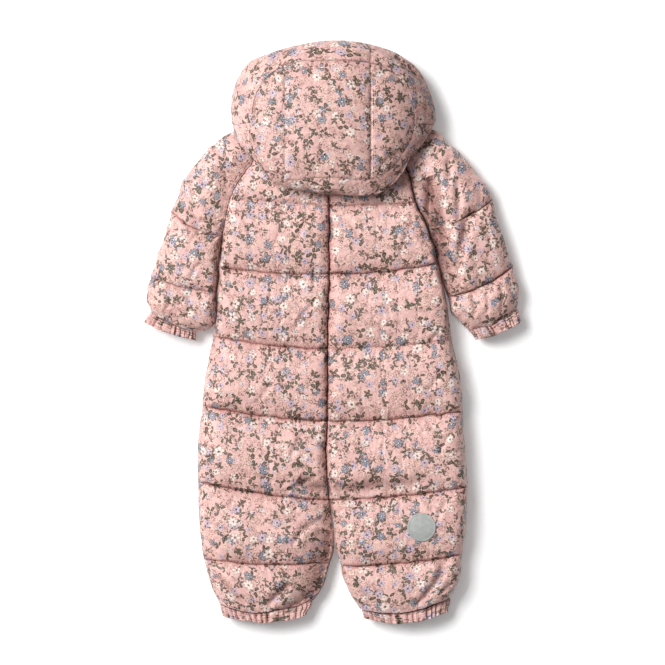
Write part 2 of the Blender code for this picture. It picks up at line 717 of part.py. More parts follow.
def main():
    clear_scene()
    back_shares = (0.0, 0.07, 0.2, 0.4, 0.62, 0.82, 0.94, 1.0)
    front_shares = (0.0, 0.08, 0.3, 0.7, 0.93, 1.0)
    backs = {}
    for word, side, table in (("left", LEFT, BODY_LEFT), ("right", RIGHT, BODY_RIGHT)):
        backs[word] = body_panel("back_" + word, table, side, 0, BAFFLE_STEPS, back_shares)
        body_panel("front_" + word, table, side, 1, FRONT_STEPS, front_shares)
    top_shares = (0.0, 0.12, 0.4, 0.7, 0.92, 1.0)
    under_shares = (0.92, 0.6, 0.12, 0.0)
    sleeve("sleeve_left", SLEEVE_LEFT, BODY_LEFT, LEFT, top_shares, under_shares)
    sleeve("sleeve_right", SLEEVE_RIGHT, BODY_RIGHT, RIGHT, top_shares, under_shares)
    for name, rows in CUFFS.items():
        cuff(name, rows)
    dome_panel("hood_centre", centre_plan)
    dome_panel("hood_side_left", side_plan(LEFT))
    dome_panel("hood_side_right", side_plan(RIGHT))
    arcs = (0.0, 0.12, 0.33, 0.55, 0.78, 1.0)
    brim_start, brim_end = BRIM_ENDS
    hood_band("hood_brim", brim_start, brim_end, arcs)
    hood_band("hood_neck_band", brim_end + 0.15, brim_start + 359.85, arcs)
    zip_strip("zip_tape", TAPE_HALF, *TAPE_Z, ZIP_TOP, TAPE_NOTCH, (0.75, 0.5, 0.47))
    coil_top = ZIP_TOP - TAPE_NOTCH[1] - 1
    zip_strip("zip_coil", COIL_HALF, *COIL_Z, coil_top, None, (0.7, 0.45, 0.42))
    zip_slider()
    zip_pull()
    reflective_patch(backs["right"])


main()
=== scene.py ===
"""Looks of the padded baby snowsuit: fine panels puffed by cloth simulation, folds, cuffs, print and light.

Tables and lengths are in millimetres. +X runs to the wearer's right arm, +Y to the hood, +Z up.
"""

import math

import bpy
import numpy as np
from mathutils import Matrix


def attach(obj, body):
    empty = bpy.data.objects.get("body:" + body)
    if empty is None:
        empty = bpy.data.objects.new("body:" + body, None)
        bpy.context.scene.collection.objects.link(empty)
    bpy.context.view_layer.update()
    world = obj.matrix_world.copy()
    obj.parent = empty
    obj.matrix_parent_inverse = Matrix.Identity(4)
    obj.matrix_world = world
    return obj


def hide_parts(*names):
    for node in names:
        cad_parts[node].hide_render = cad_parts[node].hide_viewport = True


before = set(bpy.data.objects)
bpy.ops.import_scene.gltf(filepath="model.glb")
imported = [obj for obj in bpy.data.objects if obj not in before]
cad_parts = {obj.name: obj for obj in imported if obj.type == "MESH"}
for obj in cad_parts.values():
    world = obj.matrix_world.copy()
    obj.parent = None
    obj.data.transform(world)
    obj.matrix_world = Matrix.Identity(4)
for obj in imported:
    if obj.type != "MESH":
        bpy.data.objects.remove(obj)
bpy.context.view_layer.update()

MM = 0.001
LEFT, RIGHT = -1, 1
STEP = 2.7  # spacing of the simulated grids
GAP = 0.3  # between neighbouring pieces
MID_Z = 20.0  # height at which the back lies on the front
EDGE = 1.6  # thickness of a panel at its held edges
SIDE_ROUND = {LEFT: 36.0, RIGHT: 15.0}  # how far in from a free side the cloth rounds over
ARM_ROUND = {LEFT: 8.0, RIGHT: 8.0}  # the same where an arm lies against the body
SEAM_ROUND = 11.0  # the same at a seam
ZIP_HALF = 9.0  # from the middle to a front panel, where the zip lies
CROTCH_ROW = 10  # rows of the body's tables
ARMPIT_ROW = 3
RAGLAN_ROWS = 2  # the sleeve's rows above the armpit
FRONT_LOFT = 20.0  # the most that the padding below lofts, pressed flat on the floor
SLEEVE_FOLD = 9.0  # from the end of the arm's hollow to its outer fold
TOUCHING = {LEFT: (2.0, 30.0), RIGHT: (46.0, 70.0)}  # y over which an arm comes to lie on the body
ARM_RISE = {LEFT: 12.0, RIGHT: 30.0}  # how far the arm takes to rise from the seam
ARM_LOW = {LEFT: 0.8, RIGHT: 0.3}  # share of the loft where it starts to rise
RAGLAN_LOW = {LEFT: 0.8, RIGHT: 0.85}  # share of the loft left at the raglan seams
RAGLAN_MARK = {LEFT: 0.12, RIGHT: 0.8}  # how deep they are drawn in, and how dark with painted shade
CENTRE_MARK = 0.85  # the same for the centre-back seam
QUILT_CREASE = {"depth": 3.6, "width": 1.7}  # a fully drawn quilting line, and the dip that it lies in
QUILT_DIP = {"depth": 2.8, "width": 7.5}
SEAM_CREASE = {True: 4.0, False: 7.0}  # depth of a fully drawn seam, on the hood and elsewhere
BODY_COLS, SLEEVE_COLS, CENTRE_COLS, SIDE_COLS, BAND_COLS = 66, 31, 40, 30, 34
HOOD_ROWS = 58
# Share of the loft on the quilting lines and on the crowns between them.
LEVELS = {"front": (0.6, 0.95), "body": (0.70, 0.86), "sleeve": (0.66, 0.84)}
# How deep each quilting line is drawn in and how dark with painted shade, from the top; the first and last
# are the panel's ends.
QUILT_MARKS = {
    "body": {
        LEFT: (1, 0.35, 0.75, 0.75, 0.9, 0.85, 0.75, 1),
        RIGHT: (1, 0.45, 0.95, 0.35, 0.9, 0.75, 0.85, 1),
    },
    "sleeve": {LEFT: (1, 0.5, 0.5, 1), RIGHT: (1, 0.9, 1, 1)},
}

# Even rows are quilting lines or seams, odd rows the crowns between them.
ROW_COLUMNS = ("x_in", "y_in", "x_out", "y_out", "sag", "loft", "slit")
BODY_LEFT = (
    (-6, 211, -97, 261, 0, 13, 0.15),
    (-6, 194, -121, 227, 0, 18, 0.15),
    (-6, 177, -144, 188, 0, 26, 0.15),
    (-6, 130, -155, 134, 0, 28, 0.15),
    (-6, 82, -160, 92, 4, 28, 0.15),
    (-7, 29, -163, 41, 2, 29, 0.15),
    (-8, -23, -169, -5, 4, 28, 0.15),
    (-8, -74, -181, -55, 2, 29, 0.15),
    (-9, -124, -183, -102, 4, 28, 0.15),
    (-10, -180, -189, -158, 2, 29, 0.15),
    (-5, -234, -189, -208, 5, 28, 0.15),
    (-2, -276, -188, -262, 0, 29, 0.15),
    (-10, -321, -181, -316, 6, 28, 0.15),
    (-24, -350, -172, -352, 9, 25, 1.5),
    (-43, -376, -159, -380, 13, 14, 8.0),
)
BODY_RIGHT = (
    (-6, 211, 85, 258, 0, 13, 0.15),
    (-6, 194, 103, 227, 0, 18, 0.15),
    (-6, 177, 115, 181, 0, 26, 0.15),
    (-6, 130, 132, 144, 0, 28, 0.15),
    (-6, 82, 146, 96, 4, 28, 0.15),
    (-7, 29, 158, 43, 2, 29, 0.15),
    (-8, -23, 164, -10, 3, 28, 0.15),
    (-8, -74, 176, -61, 2, 29, 0.15),
    (-9, -124, 181, -110, 4, 28, 0.15),
    (-10, -180, 186, -164, 2, 29, 0.15),
    (-5, -234, 187, -216, 4, 28, 0.15),
    (2.4, -276, 186, -262, 0, 29, 0.15),
    (13, -327, 178, -310, 4, 28, 0.15),
    (26, -357, 170, -343, 9, 25, 1.5),
    (40, -386, 159, -370, 13, 14, 8.0),
)
SLEEVE_LEFT = (
    (-97, 261, -128, 284, 0, 13, 0.15),
    (-139, 200, -187, 240, 0, 22, 0.15),
    (-155, 134, -227, 169, 8, 26, 0.15),
    (-162, 96, -243, 121, 6, 27, 0.15),
    (-166, 58, -255, 79, 6, 26, 0.15),
    (-175, 27, -261, 50, 6, 24, 2.0),
    (-194, 2, -255, 30, 4, 13, 7.5),
)
SLEEVE_RIGHT = (
    (85, 258, 124, 284, 0, 13, 0.15),
    (112, 195, 178, 244, 0, 22, 0.15),
    (132, 144, 219, 184, 8, 26, 0.15),
    (148, 99, 237, 135, 6, 27, 0.15),
    (161, 51, 251, 93, 8, 26, 0.15),
    (172, 24, 260, 57, 6, 24, 2.0),
    (188, 2, 256, 30, 4, 13, 7.5),
)
CUFF_COLUMNS = ("x_in", "y_in", "x_out", "y_out", "sag", "half")
CUFFS = {
    "cuff_leg_left": ((-43, -376, -159, -380, 13, 14), (-42, -396, -154, -397, 9, 14.5)),
    "cuff_leg_right": ((40, -386, 159, -370, 13, 14), (44, -400, 158, -391, 11, 14.5)),
    "cuff_sleeve_left": ((-194, 2, -255, 30, 4, 13), (-194, -11, -263, 13, 3, 13.5)),
    "cuff_sleeve_right": ((188, 2, 256, 30, 4, 13), (200, -11, 261, 13, 3, 13.5)),
}
CUFF_WALL = 4.5
CUFF_ROWS, CUFF_COLS = 24, 480
PLEATS = 0.62  # of a cuff, for each mm of half its width
HEM, SEWN = 0, 6  # rows of a cuff with its hem and with its stitches
HOOD_CENTRE = (0.0, 300.0)
HOOD_CROWN = 96.0  # height of the dome
HOOD_WALL = 9.0
HOOD_ROLL = 15.0  # how far its lower border turns in
HOOD_SEAMS_X = (-68.0, 52.0)
HOOD_FULL = 0.5  # how far within its outline the dome starts
PANEL_MARKS = {LEFT: 0.1, RIGHT: 0.27}  # how deep the dome's upright seams are drawn in
BRIM_ENDS = (-4.0, 184.0)  # directions in degrees
# seam = the border seam's share of the radius, neck = height of the neck band's lower edge
HOOD_COLUMNS = ("theta", "radius", "equator", "seam", "neck")
HOOD = (
    (-15, 131, 56, 0.86, 30.6),
    (0, 143, 40, 0.79, 29),
    (15, 140, 36, 0.78, 29),
    (30, 136, 35, 0.785, 29),
    (45, 127.5, 34, 0.785, 29),
    (60, 116.5, 34, 0.775, 29),
    (75, 110.5, 34, 0.745, 29),
    (90, 108, 34, 0.745, 29),
    (105, 109, 34, 0.756, 29),
    (120, 115, 34, 0.78, 29),
    (135, 126.5, 34, 0.773, 29),
    (150, 143, 35, 0.75, 29),
    (165, 145, 36, 0.77, 29),
    (180, 142.5, 40, 0.79, 29),
    (195, 138.5, 56, 0.86, 31.2),
    (210, 125.5, 64, 0.93, 33),
    (225, 123, 67, 0.93, 36.8),
    (240, 115, 68, 0.88, 37.2),
    (255, 108, 69, 0.82, 35.2),
    (270, 107.5, 70, 0.79, 33.2),
    (285, 113, 69, 0.8, 39),
    (300, 123, 68, 0.82, 40.2),
    (315, 125, 67, 0.86, 39.5),
    (330, 122.5, 64, 0.89, 33),
    (345, 131, 56, 0.86, 30.6),
    (360, 143, 40, 0.79, 29),
)
GROUND = ((0.825, 0.65, 0.63), (0.867, 0.70, 0.675), (0.905, 0.785, 0.735))  # pinks of the print's ground
FOLD_SHADE = (0.46, 0.38, 0.37, 1.0)  # painted shade: the tint multiplied into the cloth in the deep, wide folds
VALLEY = (0.62, 0.40, 0.40, 1.0)  # tint of the light that is thrown back and forth in a valley
PATCH_CENTRE = (123.0, -272.0)
PATCH_RADIUS = 20.0
PATCH_RINGS = (  # share of the radius, height above the cloth
    (0.02, 0.9), (0.15, 0.9), (0.3, 0.9), (0.45, 0.9), (0.6, 0.9), (0.72, 0.9), (0.81, 0.88),
    (0.85, 0.78), (0.88, 0.86), (0.91, 0.98), (0.94, 1.0), (0.97, 0.95), (0.99, 0.8), (1.0, 0.4),
)

# Main creases, pressed in after the simulation: each runs through three points, in plan. "hood" has
# those that run over all the hood's pieces.
# A fold's depth also sets how much painted shade darkens it; the "hood" fold is mostly painted shade.
FOLD_COLUMNS = ("x1", "y1", "x2", "y2", "x3", "y3", "depth", "width")
FOLDS = {
    "back_left": (
        (2, -276, -14, -346, -56, -394, 12.5, 25),
        (-50, -204, -26, -217, -2, -222, 8, 8),
        (-61, -351, -74, -363, -92, -382, 5.5, 5),
        (-16, -360, -47, -383, -82, -391, 6, 7),
        (-162, -340, -145, -360, -124, -382, 4, 4.5),
        (-68, -223, -47, -212, -22, -201, 2.5, 3),
        (-22, 46, -40, 29, -52, 4, 2, 3),
        (-19, -38, -38, -30, -61, -33, 1.5, 3),
        (-156, 59, -142, 46, -131, 20, 1.6, 3),
        (-176, -38, -156, -47, -136, -66, 1.6, 3),
        (-38, -136, -52, -158, -61, -181, 2, 3.5),
        (-16, -262, -40, -274, -58, -298, 2.5, 4),
        (-178, -262, -156, -274, -131, -276, 1.6, 3),
        (-22, 164, -40, 152, -50, 130, 2, 3),
        (-136, 169, -121, 152, -117, 127, 1.8, 3),
        (-117, -102, -100, -89, -89, -66, 1.4, 3.5),
    ),
    "back_right": (
        (149, 6, 141, -5, 131, -18, 2.2, 3),
        (0, -214, 24, -220, 66, -214, 6, 8),
        (40, -208, 90, -214, 130, -200, 3.5, 8),
        (149, -318, 141, -349, 114, -382, 5.5, 4.5),
        (163, -344, 154, -356, 146, -366, 3.2, 3.5),
        (37, -351, 46, -366, 58, -383, 3.5, 4),
        (18, -298, 37, -304, 54, -321, 2, 3),
        (2, 31, 23, 20, 40, -2, 2.4, 3.5),
        (2, -150, 26, -159, 46, -156, 1.6, 3),
        (172, -136, 158, -150, 149, -172, 1.6, 3),
        (4, -227, 26, -241, 40, -262, 2, 3.5),
        (163, -232, 150, -248, 145, -265, 1.6, 3),
        (6, 164, 26, 150, 37, 127, 1.6, 3),
        (113, 155, 100, 132, 93, 104, 1.8, 3),
        (160, -55, 144, -64, 132, -83, 1.6, 3.5),
    ),
    "sleeve_left": (
        (-219, 174, -200, 162, -188, 136, 3, 4),
        (-188, 155, -167, 152, -156, 138, 3, 3.5),
        (-159, 230, -150, 219, -148, 206, 2, 3),
        (-226, 46, -232, 34, -236, 23, 2.5, 2.5),
        (-201, 214, -192, 191, -192, 169, 2, 4),
        (-239, 115, -222, 107, -206, 99, 1.6, 3),
        (-180, 99, -192, 90, -198, 71, 2, 3),
        (-205, 54, -202, 40, -208, 20, 2, 3),
    ),
    "sleeve_right": (
        (186, 158, 181, 130, 170, 86, 7.5, 6),
        (128, 216, 143, 150, 163, 50, 12, 13),
        (145, 206, 149, 172, 146, 136, 4, 4),
        (170, 214, 174, 186, 173, 150, 4, 4.5),
        (232, 69, 236, 48, 233, 27, 2.5, 3),
        (156, 241, 160, 225, 158, 200, 3, 4),
        (194, 206, 201, 191, 202, 174, 2, 3.5),
        (205, 155, 216, 135, 219, 108, 2, 4),
        (136, 216, 135, 192, 132, 166, 5, 4.5),
        (191, 51, 197, 37, 194, 20, 2.5, 3),
        (214, 57, 216, 43, 214, 26, 2, 2.5),
    ),
    "hood_brim": (
        (57, 396, 90, 382, 127, 345, 3, 3.5),
        (62, 401, 93, 390, 113, 370, 2, 2.5),
    ),
    "hood": (
        (96, 404, 128, 300, 58, 178, 8.5, 29),
    ),
    "hood_side_right": (
        (65, 225, 76, 241, 96, 253, 2, 4),
    ),
    "hood_side_left": (
        (-107, 332, -111, 312, -108, 290, 1.8, 3),
        (-127, 298, -117, 272, -100, 255, 1.5, 4),
    ),
    "hood_centre": (
        (-47, 300, -16, 278, 23, 275, 1.2, 7),
    ),
}
WAVER = 0.8  # how far the back's and the arms' seams waver
# Where the worn cloth lies a little off its pattern: the pieces or kinds of piece, a place, how far the
# cloth has moved there and the reach of that.
SHIFT_COLUMNS = ("names", "x", "y", "dx", "dy", "reach")
SHIFTS = (
    ("back front cuff", -24, -362, 8, 0, 24),
    ("back front", -6, -318, 2, 0, 20),
    ("back front cuff", 24, -356, -4, 0, 25),
    ("back front cuff", 172, -345, 6, -2, 34),
    ("back front", 175, -20, 1.5, 0, 70),
    ("back front", 0, -300, 0, -5, 14),
    ("back front", -180, -40, 0.5, 0, 45),
    ("back front", -192, -170, -1, 0, 70),
    ("back front sleeve", -163, 62, -1, 0, 32),
    ("sleeve cuff", -184, 10, 3, -3, 16),
    ("sleeve", 238, 133, 2.5, 0, 24),
    ("sleeve", -152, 277, -6, 5, 22),
    ("sleeve", 150, 278, 6, 6, 20),
    ("sleeve", 182, 246, 5, 4, 30),
    ("sleeve", 222, 180, 2, 1, 30),
    ("sleeve", -192, 236, -2, 1, 40),
    ("sleeve cuff", -258, 70, -1.5, 0, 50),
    ("sleeve cuff", -178, 20, 4, -4, 14),
    ("sleeve", 168, 32, -4, -4, 12),
    ("back_left front_left", -6, -302, 4.5, 0, 26),
    ("back_left front_left", -22, -345, 5, 0, 20),
    ("back_left front_left cuff_leg_left", -42, -376, 11, 1, 18),
    ("sleeve_right cuff_sleeve_right", 258, 34, 0, 5, 15),
    ("sleeve_right cuff_sleeve_right", 190, 2, 1, 2, 14),
    ("back_right front_right", 6, -300, -4, 0, 26),
    ("back_right front_right", 22, -345, -3, 0, 18),
    ("back_right front_right", 38, -374, -4, 0, 15),
    ("sleeve_left", -168, 262, -4, 4, 22),
    ("sleeve_left", -208, 206, -4, 2, 20),
    ("sleeve_left cuff_sleeve_left", -180, 12, 2, 0, 14),
    ("sleeve_right", 146, 280, 4, 5, 24),
    ("sleeve_right", 206, 202, 5, 3, 20),
    ("back_left front_left", -176, -42, 3, 0, 26),
    ("back_right front_right", 184, -150, -2.5, 0, 26),
)


# ---- curves ----
def curve(values, v):
    """A curve through the values at 0, 1, 2..., which never overshoots them."""
    values = np.asarray(values, float)
    v = np.asarray(v, float)
    step = np.diff(values)
    both = step[:-1] * step[1:]
    total = np.where(both > 0, step[:-1] + step[1:], 1)
    slope = np.concatenate([step[:1], np.where(both > 0, 2 * both / total, 0), step[-1:]])
    i = np.clip(v.astype(int), 0, len(step) - 1)
    t = v - i
    return (
        values[i]
        + (3 - 2 * t) * t * t * step[i]
        + t * (1 - t) ** 2 * slope[i]
        + t * t * (t - 1) * slope[i + 1]
    )


def read(table, columns, v):
    return {name: curve([row[k] for row in table], v) for k, name in enumerate(columns)}


def ramp(v, start, end):
    return np.clip((v - start) / (end - start), 0, 1)


def soft_ramp(v, start, end):
    t = ramp(v, start, end)
    return t * t * (3 - 2 * t)


def rounding(distance, reach):
    left = 1 - np.clip(distance / reach, 0, 1)
    return np.sqrt(1 - left * left)


def waves(x, y, length, seed, count=14):
    """A smooth uneven field between about -1 and 1, its bumps about length apart."""
    rng = np.random.default_rng(seed)
    total = 0
    for _ in range(count):
        turn, phase = rng.uniform(0, 2 * math.pi, 2)
        k = 2 * math.pi / (length * rng.uniform(0.7, 1.5))
        total = total + np.sin(k * (x * math.cos(turn) + y * math.sin(turn)) + phase)
    return total / math.sqrt(count * 2)


def rows_of(table, step):
    """Row positions about step apart, each quilting line on a row of its own."""
    found = []
    for low in range(0, len(table) - 1, 2):
        a, b = table[low], table[low + 2]
        deep = max(abs(b[1] - a[1]), abs(b[3] - a[3]))
        count = max(6, round(deep / step))
        found += [low + 2 * k / count for k in range(count)]
    return np.array(found + [len(table) - 1.0])


# ---- grids: each is an array of rows x columns x (x, y, z) ----
def grid(*parts):
    return np.stack(np.broadcast_arrays(*parts), -1).astype(float)


def baffle(v, kind, side=None):
    """Share of the loft along a panel; where it has a side, its quilting lines are as deep as marked."""
    low, crown = LEVELS[kind]
    t = np.abs(2 * (v / 2 - np.floor(v / 2 + 1e-9)) - 1)
    if side is not None:
        low = crown - (crown - low) * np.array(QUILT_MARKS[kind][side], float)[np.round(v / 2).astype(int)]
    return low + (crown - low) * (1 - t**6)


def body_grid(table, side, front):
    v = rows_of(table, STEP)[:, None]
    s = np.linspace(0, 1, BODY_COLS)[None]
    row = read(table, ROW_COLUMNS, v)
    joined_x = curve([r[0] for r in BODY_LEFT[: CROTCH_ROW + 1]], np.minimum(v, CROTCH_ROW))
    x_in = np.where(v < CROTCH_ROW, joined_x, row["x_in"])
    joined = 1 - ramp(v, CROTCH_ROW - 0.32, CROTCH_ROW)
    x_in = x_in + side * (GAP / 2 + (ZIP_HALF - GAP / 2) * joined * front)
    x_out = row["x_out"] - side * GAP / 2
    x = x_in + s * (x_out - x_in)
    y = row["y_in"] + s * (row["y_out"] - row["y_in"]) - row["sag"] * 4 * s * (1 - s)
    width = np.abs(x_out - x_in)
    from_in, from_out = width * s, width * (1 - s)
    centre_free = ramp(v, CROTCH_ROW - 0.6, CROTCH_ROW + 0.6)
    side_free = ramp(v, ARMPIT_ROW - 0.4, ARMPIT_ROW + 0.3)
    low_in = 0.5 if front else 0.72
    low_out = 0.5 if front else RAGLAN_LOW[side]
    near_in = low_in + (1 - low_in) * rounding(from_in, SEAM_ROUND)
    near_out = low_out + (1 - low_out) * rounding(from_out, SEAM_ROUND)
    inner_round = 90 if side == LEFT and not front else 40  # the left leg falls off slowly to its inner side
    outer_round = ARM_ROUND[side] + (SIDE_ROUND[side] - ARM_ROUND[side]) * soft_ramp(v, 4.6, 6.4)
    edge_in = near_in + centre_free * (rounding(from_in, inner_round) - near_in)
    edge_out = near_out + side_free * (rounding(from_out, outer_round) - near_out)
    loft = np.minimum(FRONT_LOFT, row["loft"] * 1.6) if front else row["loft"]
    share = baffle(v, "front") if front else baffle(v, "body", side)
    height = EDGE + (loft - EDGE) * edge_in * edge_out * share
    slit = row["slit"] * np.minimum(rounding(from_in, 30), rounding(from_out, 30))
    slit = np.maximum(slit, GAP / 2)
    return grid(x, y, height + slit), grid(x, y, slit), v[:, 0]


def sleeve_grid(table, body, side):
    above, below = rows_of(body, STEP), rows_of(table, STEP)
    above, below = above[above < ARMPIT_ROW] * RAGLAN_ROWS / ARMPIT_ROW, below[below >= RAGLAN_ROWS]
    v = np.concatenate([above, below])[:, None]
    row = read(table, ROW_COLUMNS, v)
    on_body = read(body, ROW_COLUMNS, np.minimum(v * ARMPIT_ROW / RAGLAN_ROWS, ARMPIT_ROW))
    beside = v <= RAGLAN_ROWS
    y_in = np.where(beside, on_body["y_out"], row["y_in"])
    flank = read(body, ROW_COLUMNS, np.linspace(0, CROTCH_ROW, 400))
    against = np.interp(-y_in, -flank["y_out"], flank["x_out"])
    x_in = np.where(beside, on_body["x_out"], row["x_in"])
    x_in = x_in + (1 - beside) * soft_ramp(y_in, *TOUCHING[side]) * (against - x_in) + side * GAP / 2
    y_in = y_in + GAP * (1 - ramp(v, RAGLAN_ROWS, RAGLAN_ROWS + 1))
    run_x, run_y = row["x_out"] - x_in, row["y_out"] - y_in
    width = np.hypot(run_x, run_y)
    free = ramp(v, RAGLAN_ROWS - 0.3, RAGLAN_ROWS + 0.2)
    outers, inners = [], []
    turn = np.linspace(0, 1, SLEEVE_COLS)
    turn = 1 - (1 - turn) ** 1.35  # closer together at the outer fold
    for facing, s in ((1, turn), (-1, turn[-2::-1])):
        s = s[None]
        full = row["loft"] if facing > 0 else np.minimum(FRONT_LOFT, row["loft"] * 1.5)
        share = baffle(v, "sleeve", side) if facing > 0 else baffle(v, "front")
        x = x_in + s * run_x
        if side == RIGHT:  # the armhole's quilting line is pulled flat near the body
            near = np.exp(-(((v - RAGLAN_ROWS) / 0.8) ** 2))
            share = share + (0.92 - share) * soft_ramp(-x, -192, -168) * near
        y = y_in + s * run_y - row["sag"] * 4 * s * (1 - s)
        low = 0.8 + (ARM_LOW[side] - 0.8) * soft_ramp(v, 0.5, 1.4)
        joined = low + (1 - low) * rounding(width * s, ARM_RISE[side])
        inner_round = ARM_RISE[side] + (33 - ARM_RISE[side]) * soft_ramp(v, 4.2, 5.6)
        inside = joined + free * (rounding(width * s, inner_round) - joined)
        outside = rounding(width * (1 - s), np.minimum(42.0, width * 0.42))
        rise = ((full - EDGE) * inside * share + EDGE) * outside
        slit = np.maximum(row["slit"] * rounding(width * s, 15) * rounding(width * (1 - s), 15), GAP / 2)
        t = s * (1 - SLEEVE_FOLD / width)
        outers.append(grid(x, y, facing * rise))
        hollow_y = y_in + t * run_y - row["sag"] * 4 * t * (1 - t)
        inners.append(grid(x_in + t * run_x, hollow_y, facing * slit * (s < 1)))
    return np.concatenate(outers, 1), np.concatenate(inners, 1), v[:, 0]


def polar(x, y, centre=HOOD_CENTRE):
    """Direction from the centre in degrees, and distance."""
    dx, dy = x - centre[0], y - centre[1]
    return np.degrees(np.arctan2(dy, dx)), np.hypot(dx, dy)


def from_polar(theta, reach):
    turn = np.radians(theta)
    return HOOD_CENTRE[0] + reach * np.cos(turn), HOOD_CENTRE[1] + reach * np.sin(turn)


def hood_row(theta):
    return read(HOOD, HOOD_COLUMNS, (np.asarray(theta, float) + 15) % 360 / 15)


def hood_fall(theta):
    """The power by which the dome falls to its side: 0.85 is round, more slopes away and less is fuller."""
    toward = np.cos(np.radians(np.asarray(theta) + 8))
    return 0.85 + 0.85 * soft_ramp(toward, 0.1, 0.85) - 0.1 * soft_ramp(-toward, 0.2, 0.9)


def seam_mark(theta):
    """How deep the dome's border seam is drawn in, 0 to 1: it shows over the face and fades to the sides."""
    theta = np.asarray(theta, float) % 360
    brim = soft_ramp(theta, 20, 55) * (1 - 0.93 * soft_ramp(theta, 100, 140))
    neck = 0.05 + 0.17 * soft_ramp(theta, 215, 250) * (1 - 0.8 * soft_ramp(theta, 310, 345))
    return np.where(theta < 180, 0.36 * brim, neck)


def sunk_in(mark):
    """How far a border of the dome starts below the cloth beside it, which padding lifts by about 2 mm."""
    return 7.0 * mark - 2.0


def hood_point(theta, arc, inset, edge_z):
    row = hood_row(theta)
    radius = row["radius"] - inset
    rise = HOOD_CROWN - inset - row["equator"]
    over = np.clip(arc, 0, 1) * math.pi / 2
    under = np.clip(arc - 1, 0, 1) * math.pi / 2
    reach = radius * np.sin(over) - HOOD_ROLL * (1 - np.cos(under))
    z = row["equator"] + rise * np.maximum(np.cos(over), 0) ** hood_fall(theta)
    z = z - (row["equator"] - edge_z) * np.sin(under)
    return grid(*from_polar(theta, reach), z)


def hood_plan_point(x, y, inset):
    theta, reach = polar(x, y)
    share = np.minimum(reach / hood_row(theta)["radius"], 1)
    return hood_point(theta, np.arcsin(share) / (math.pi / 2), inset, 0.0)


def seam_point(theta):
    row = hood_row(theta)
    return from_polar(theta, row["seam"] * row["radius"] - GAP / 2)


def seam_corner(x, upper):
    low = np.zeros_like(np.asarray(x, float))
    high = low + (180.0 if upper else -180.0)
    for _ in range(40):
        middle = (low + high) / 2
        right = seam_point(middle)[0] > x
        low, high = np.where(right, middle, low), np.where(right, high, middle)
    return middle


def hood_panel_grid(which):
    """The three panels of the dome: which is 0 for the centre and -1 or 1 for a side."""
    b = np.linspace(0, 1, HOOD_ROWS)[:, None]
    if which == 0:
        a = np.linspace(0, 1, CENTRE_COLS)[None]
        low_x, high_x = HOOD_SEAMS_X[0] + GAP / 2, HOOD_SEAMS_X[1] - GAP / 2
        x = low_x + a * (high_x - low_x)
        low_y = seam_point(seam_corner(x, False))[1]
        high_y = seam_point(seam_corner(x, True))[1]
        y = low_y + b * (high_y - low_y)
        x = x + 0 * b
    else:
        a = np.linspace(0, 1, SIDE_COLS)[None]
        seam_x = HOOD_SEAMS_X[0] - GAP / 2 if which == LEFT else HOOD_SEAMS_X[1] + GAP / 2
        low = float(seam_corner(seam_x, False)) + (360 if which == LEFT else 0)
        high = float(seam_corner(seam_x, True))
        seam_y = seam_point(low)[1] + b * (seam_point(high)[1] - seam_point(low)[1])
        rim_x, rim_y = seam_point(low + b * (high - low))
        x, y = seam_x + a * (rim_x - seam_x), seam_y + a * (rim_y - seam_y)
    theta = polar(x, y)[0]
    if which == 0:
        first, last = PANEL_MARKS[LEFT], PANEL_MARKS[RIGHT]
    else:
        first, last = PANEL_MARKS[which], seam_mark(theta)
    reach = 6
    drawn = sunk_in(first) * np.abs(1 - a) ** reach + sunk_in(last) * a**reach
    if which == 0:
        drawn = drawn + sunk_in(seam_mark(theta)) * np.abs(2 * b - 1) ** (2 * reach)
    outer = hood_plan_point(x, y, HOOD_FULL + drawn)
    return outer, hood_plan_point(x, y, HOOD_WALL), b[:, 0]


def hood_band_grid(start, end):
    theta = np.linspace(start, end, round((end - start) * 0.8))[:, None]
    edge_z = hood_row(theta)["neck"] if start > BRIM_ENDS[1] else 0.0  # the brim's edge is on the floor
    first = np.arcsin(hood_row(theta)["seam"] + 0.0038) / (math.pi / 2)
    share = np.linspace(0, 1, BAND_COLS)[None]
    arc = first + share * (2 - first)
    sunk = HOOD_FULL + sunk_in(seam_mark(theta)) * np.abs(2 * np.minimum(share, 0.5) - 1) ** 5
    outer = hood_point(theta, arc, sunk, edge_z)
    return outer, hood_point(theta, arc, HOOD_WALL, edge_z), theta[:, 0]


# ---- simulation ----
def faces_of(rows, cols, flip, start=0, ring=False):
    index = start + np.arange(rows * cols).reshape(rows, cols)
    if ring:
        index = np.concatenate([index, index[:, :1]], 1)
    quads = [index[:-1, :-1], index[:-1, 1:], index[1:, 1:], index[1:, :-1]]
    return np.stack(quads[::-1] if flip else quads, -1).reshape(-1, 4)


def turned_in(points, low_z=0.0):
    """Whether the grid's own face order would point into the padding."""
    across = points[:-1, 1:] - points[:-1, :-1]
    down = points[1:, :-1] - points[:-1, :-1]
    centre = points.reshape(-1, 3).mean(0)
    centre[2] = low_z
    return bool((np.cross(across, down) * (points[:-1, :-1] - centre)).sum() < 0)


CLOTH = {
    "vertex_group_mass": "held", "quality": 5, "mass": 0.3, "use_pressure": True,
    "tension_stiffness": 15, "compression_stiffness": 15, "shear_stiffness": 5, "bending_stiffness": 0.1,
}


